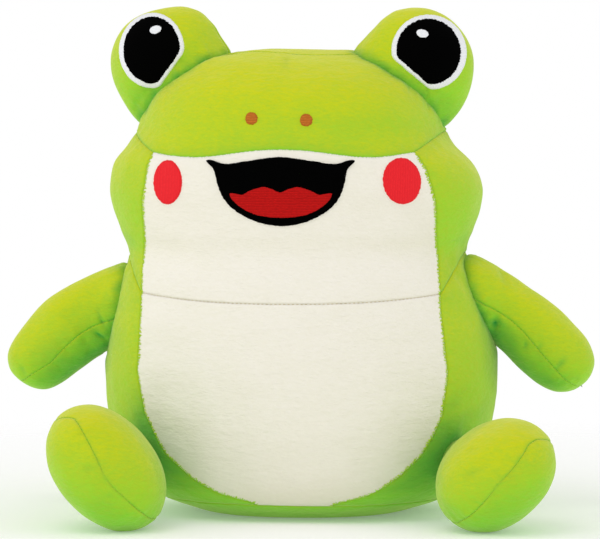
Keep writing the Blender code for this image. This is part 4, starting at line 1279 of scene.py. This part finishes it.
# Each soft lamp: its place, size, power and colour
LAMPS = {
    "key": ((-0.5, -1.0, 1.9), 1.0, 4.4, (1, 0.98, 0.95)),
    "left": ((-2.0, -0.5, 0.8), 1.4, 5, (1, 1, 1)),
    "right": ((2.0, -0.5, 0.8), 1.4, 3, (1, 1, 1)),
    "low": ((-0.3, -2.2, 0.25), 1.6, 2.5, (1, 1, 1)),
}


def place_item(name, data, place, turn):
    item = bpy.data.objects.new(name, data)
    item.location = place
    item.rotation_euler = turn
    bpy.context.collection.objects.link(item)
    return item


def add_camera():
    camera = bpy.data.cameras.new("camera")
    camera.sensor_width = SENSOR_WIDTH
    camera.lens = SENSOR_WIDTH * CAMERA_DISTANCE / (FRAME_WIDTH * METRES_PER_PIXEL)
    camera.shift_x = (FRAME_WIDTH / 2 - AIM_PIXEL[0]) / FRAME_WIDTH
    camera.shift_y = (AIM_PIXEL[1] - FRAME_HEIGHT / 2) / FRAME_WIDTH
    camera.clip_end = 50
    flat = math.cos(CAMERA_RISE)
    back = Vector((math.sin(CAMERA_TURN) * flat, -math.cos(CAMERA_TURN) * flat, math.sin(CAMERA_RISE)))
    bpy.context.scene.camera = place_item("camera", camera, CAMERA_AIM + back * CAMERA_DISTANCE,
                                          (math.pi / 2 - CAMERA_RISE, 0, CAMERA_TURN))


def add_lamps():
    for name, (place, size, power, colour) in LAMPS.items():
        lamp = bpy.data.lights.new(name, "AREA")
        lamp.shape = "DISK"
        lamp.size, lamp.energy, lamp.color = size, power, colour
        place_item(name, lamp, place, (CAMERA_AIM - Vector(place)).to_track_quat("-Z", "Y").to_euler())


def add_floor():
    """A plain pale floor that fades into the surround some way from the toy."""
    bpy.ops.mesh.primitive_plane_add(size=4, location=(0, 0, 0))
    floor = bpy.context.object
    floor.name = "floor"
    material, shader = new_material("pale_floor")
    join(material, shader, {"Base Color": linear("#F4F4F2"), "Roughness": 0.9, "Emission Color": (1, 1, 1, 1),
                            "Emission Strength": 0.15})
    place = node(material, "TexCoord", "Object", {})
    reach = node(material, "VectorMath", "Value", (place,), operation="LENGTH")
    fade = node(material, "MapRange", "Result", (reach, 0.2, 0.6))
    clear = node(material, "BsdfTransparent", "BSDF", {})
    mixed = node(material, "MixShader", "Shader", (fade, shader.outputs["BSDF"], clear))
    join(material, material.node_tree.nodes["Material Output"], {"Surface": mixed})
    floor.data.materials.append(material)


def add_surround():
    """A white studio: brightest near the horizon, where the camera looks, and softer overhead."""
    world = bpy.data.worlds.new("surround")
    world.use_nodes = True
    place = node(world, "TexCoord", "Generated", {})
    height = node(world, "SeparateXYZ", "Z", (place,))
    level = node(world, "MapRange", "Result", (height, 0.12, 0.45, 1.0, 0.76))
    join(world, world.node_tree.nodes["Background"], {"Color": (1, 1, 1, 1), "Strength": level})
    bpy.context.scene.world = world


add_camera()
build_toy()
add_floor()
add_surround()
add_lamps()
bpy.context.scene.view_settings.view_transform = "Standard"
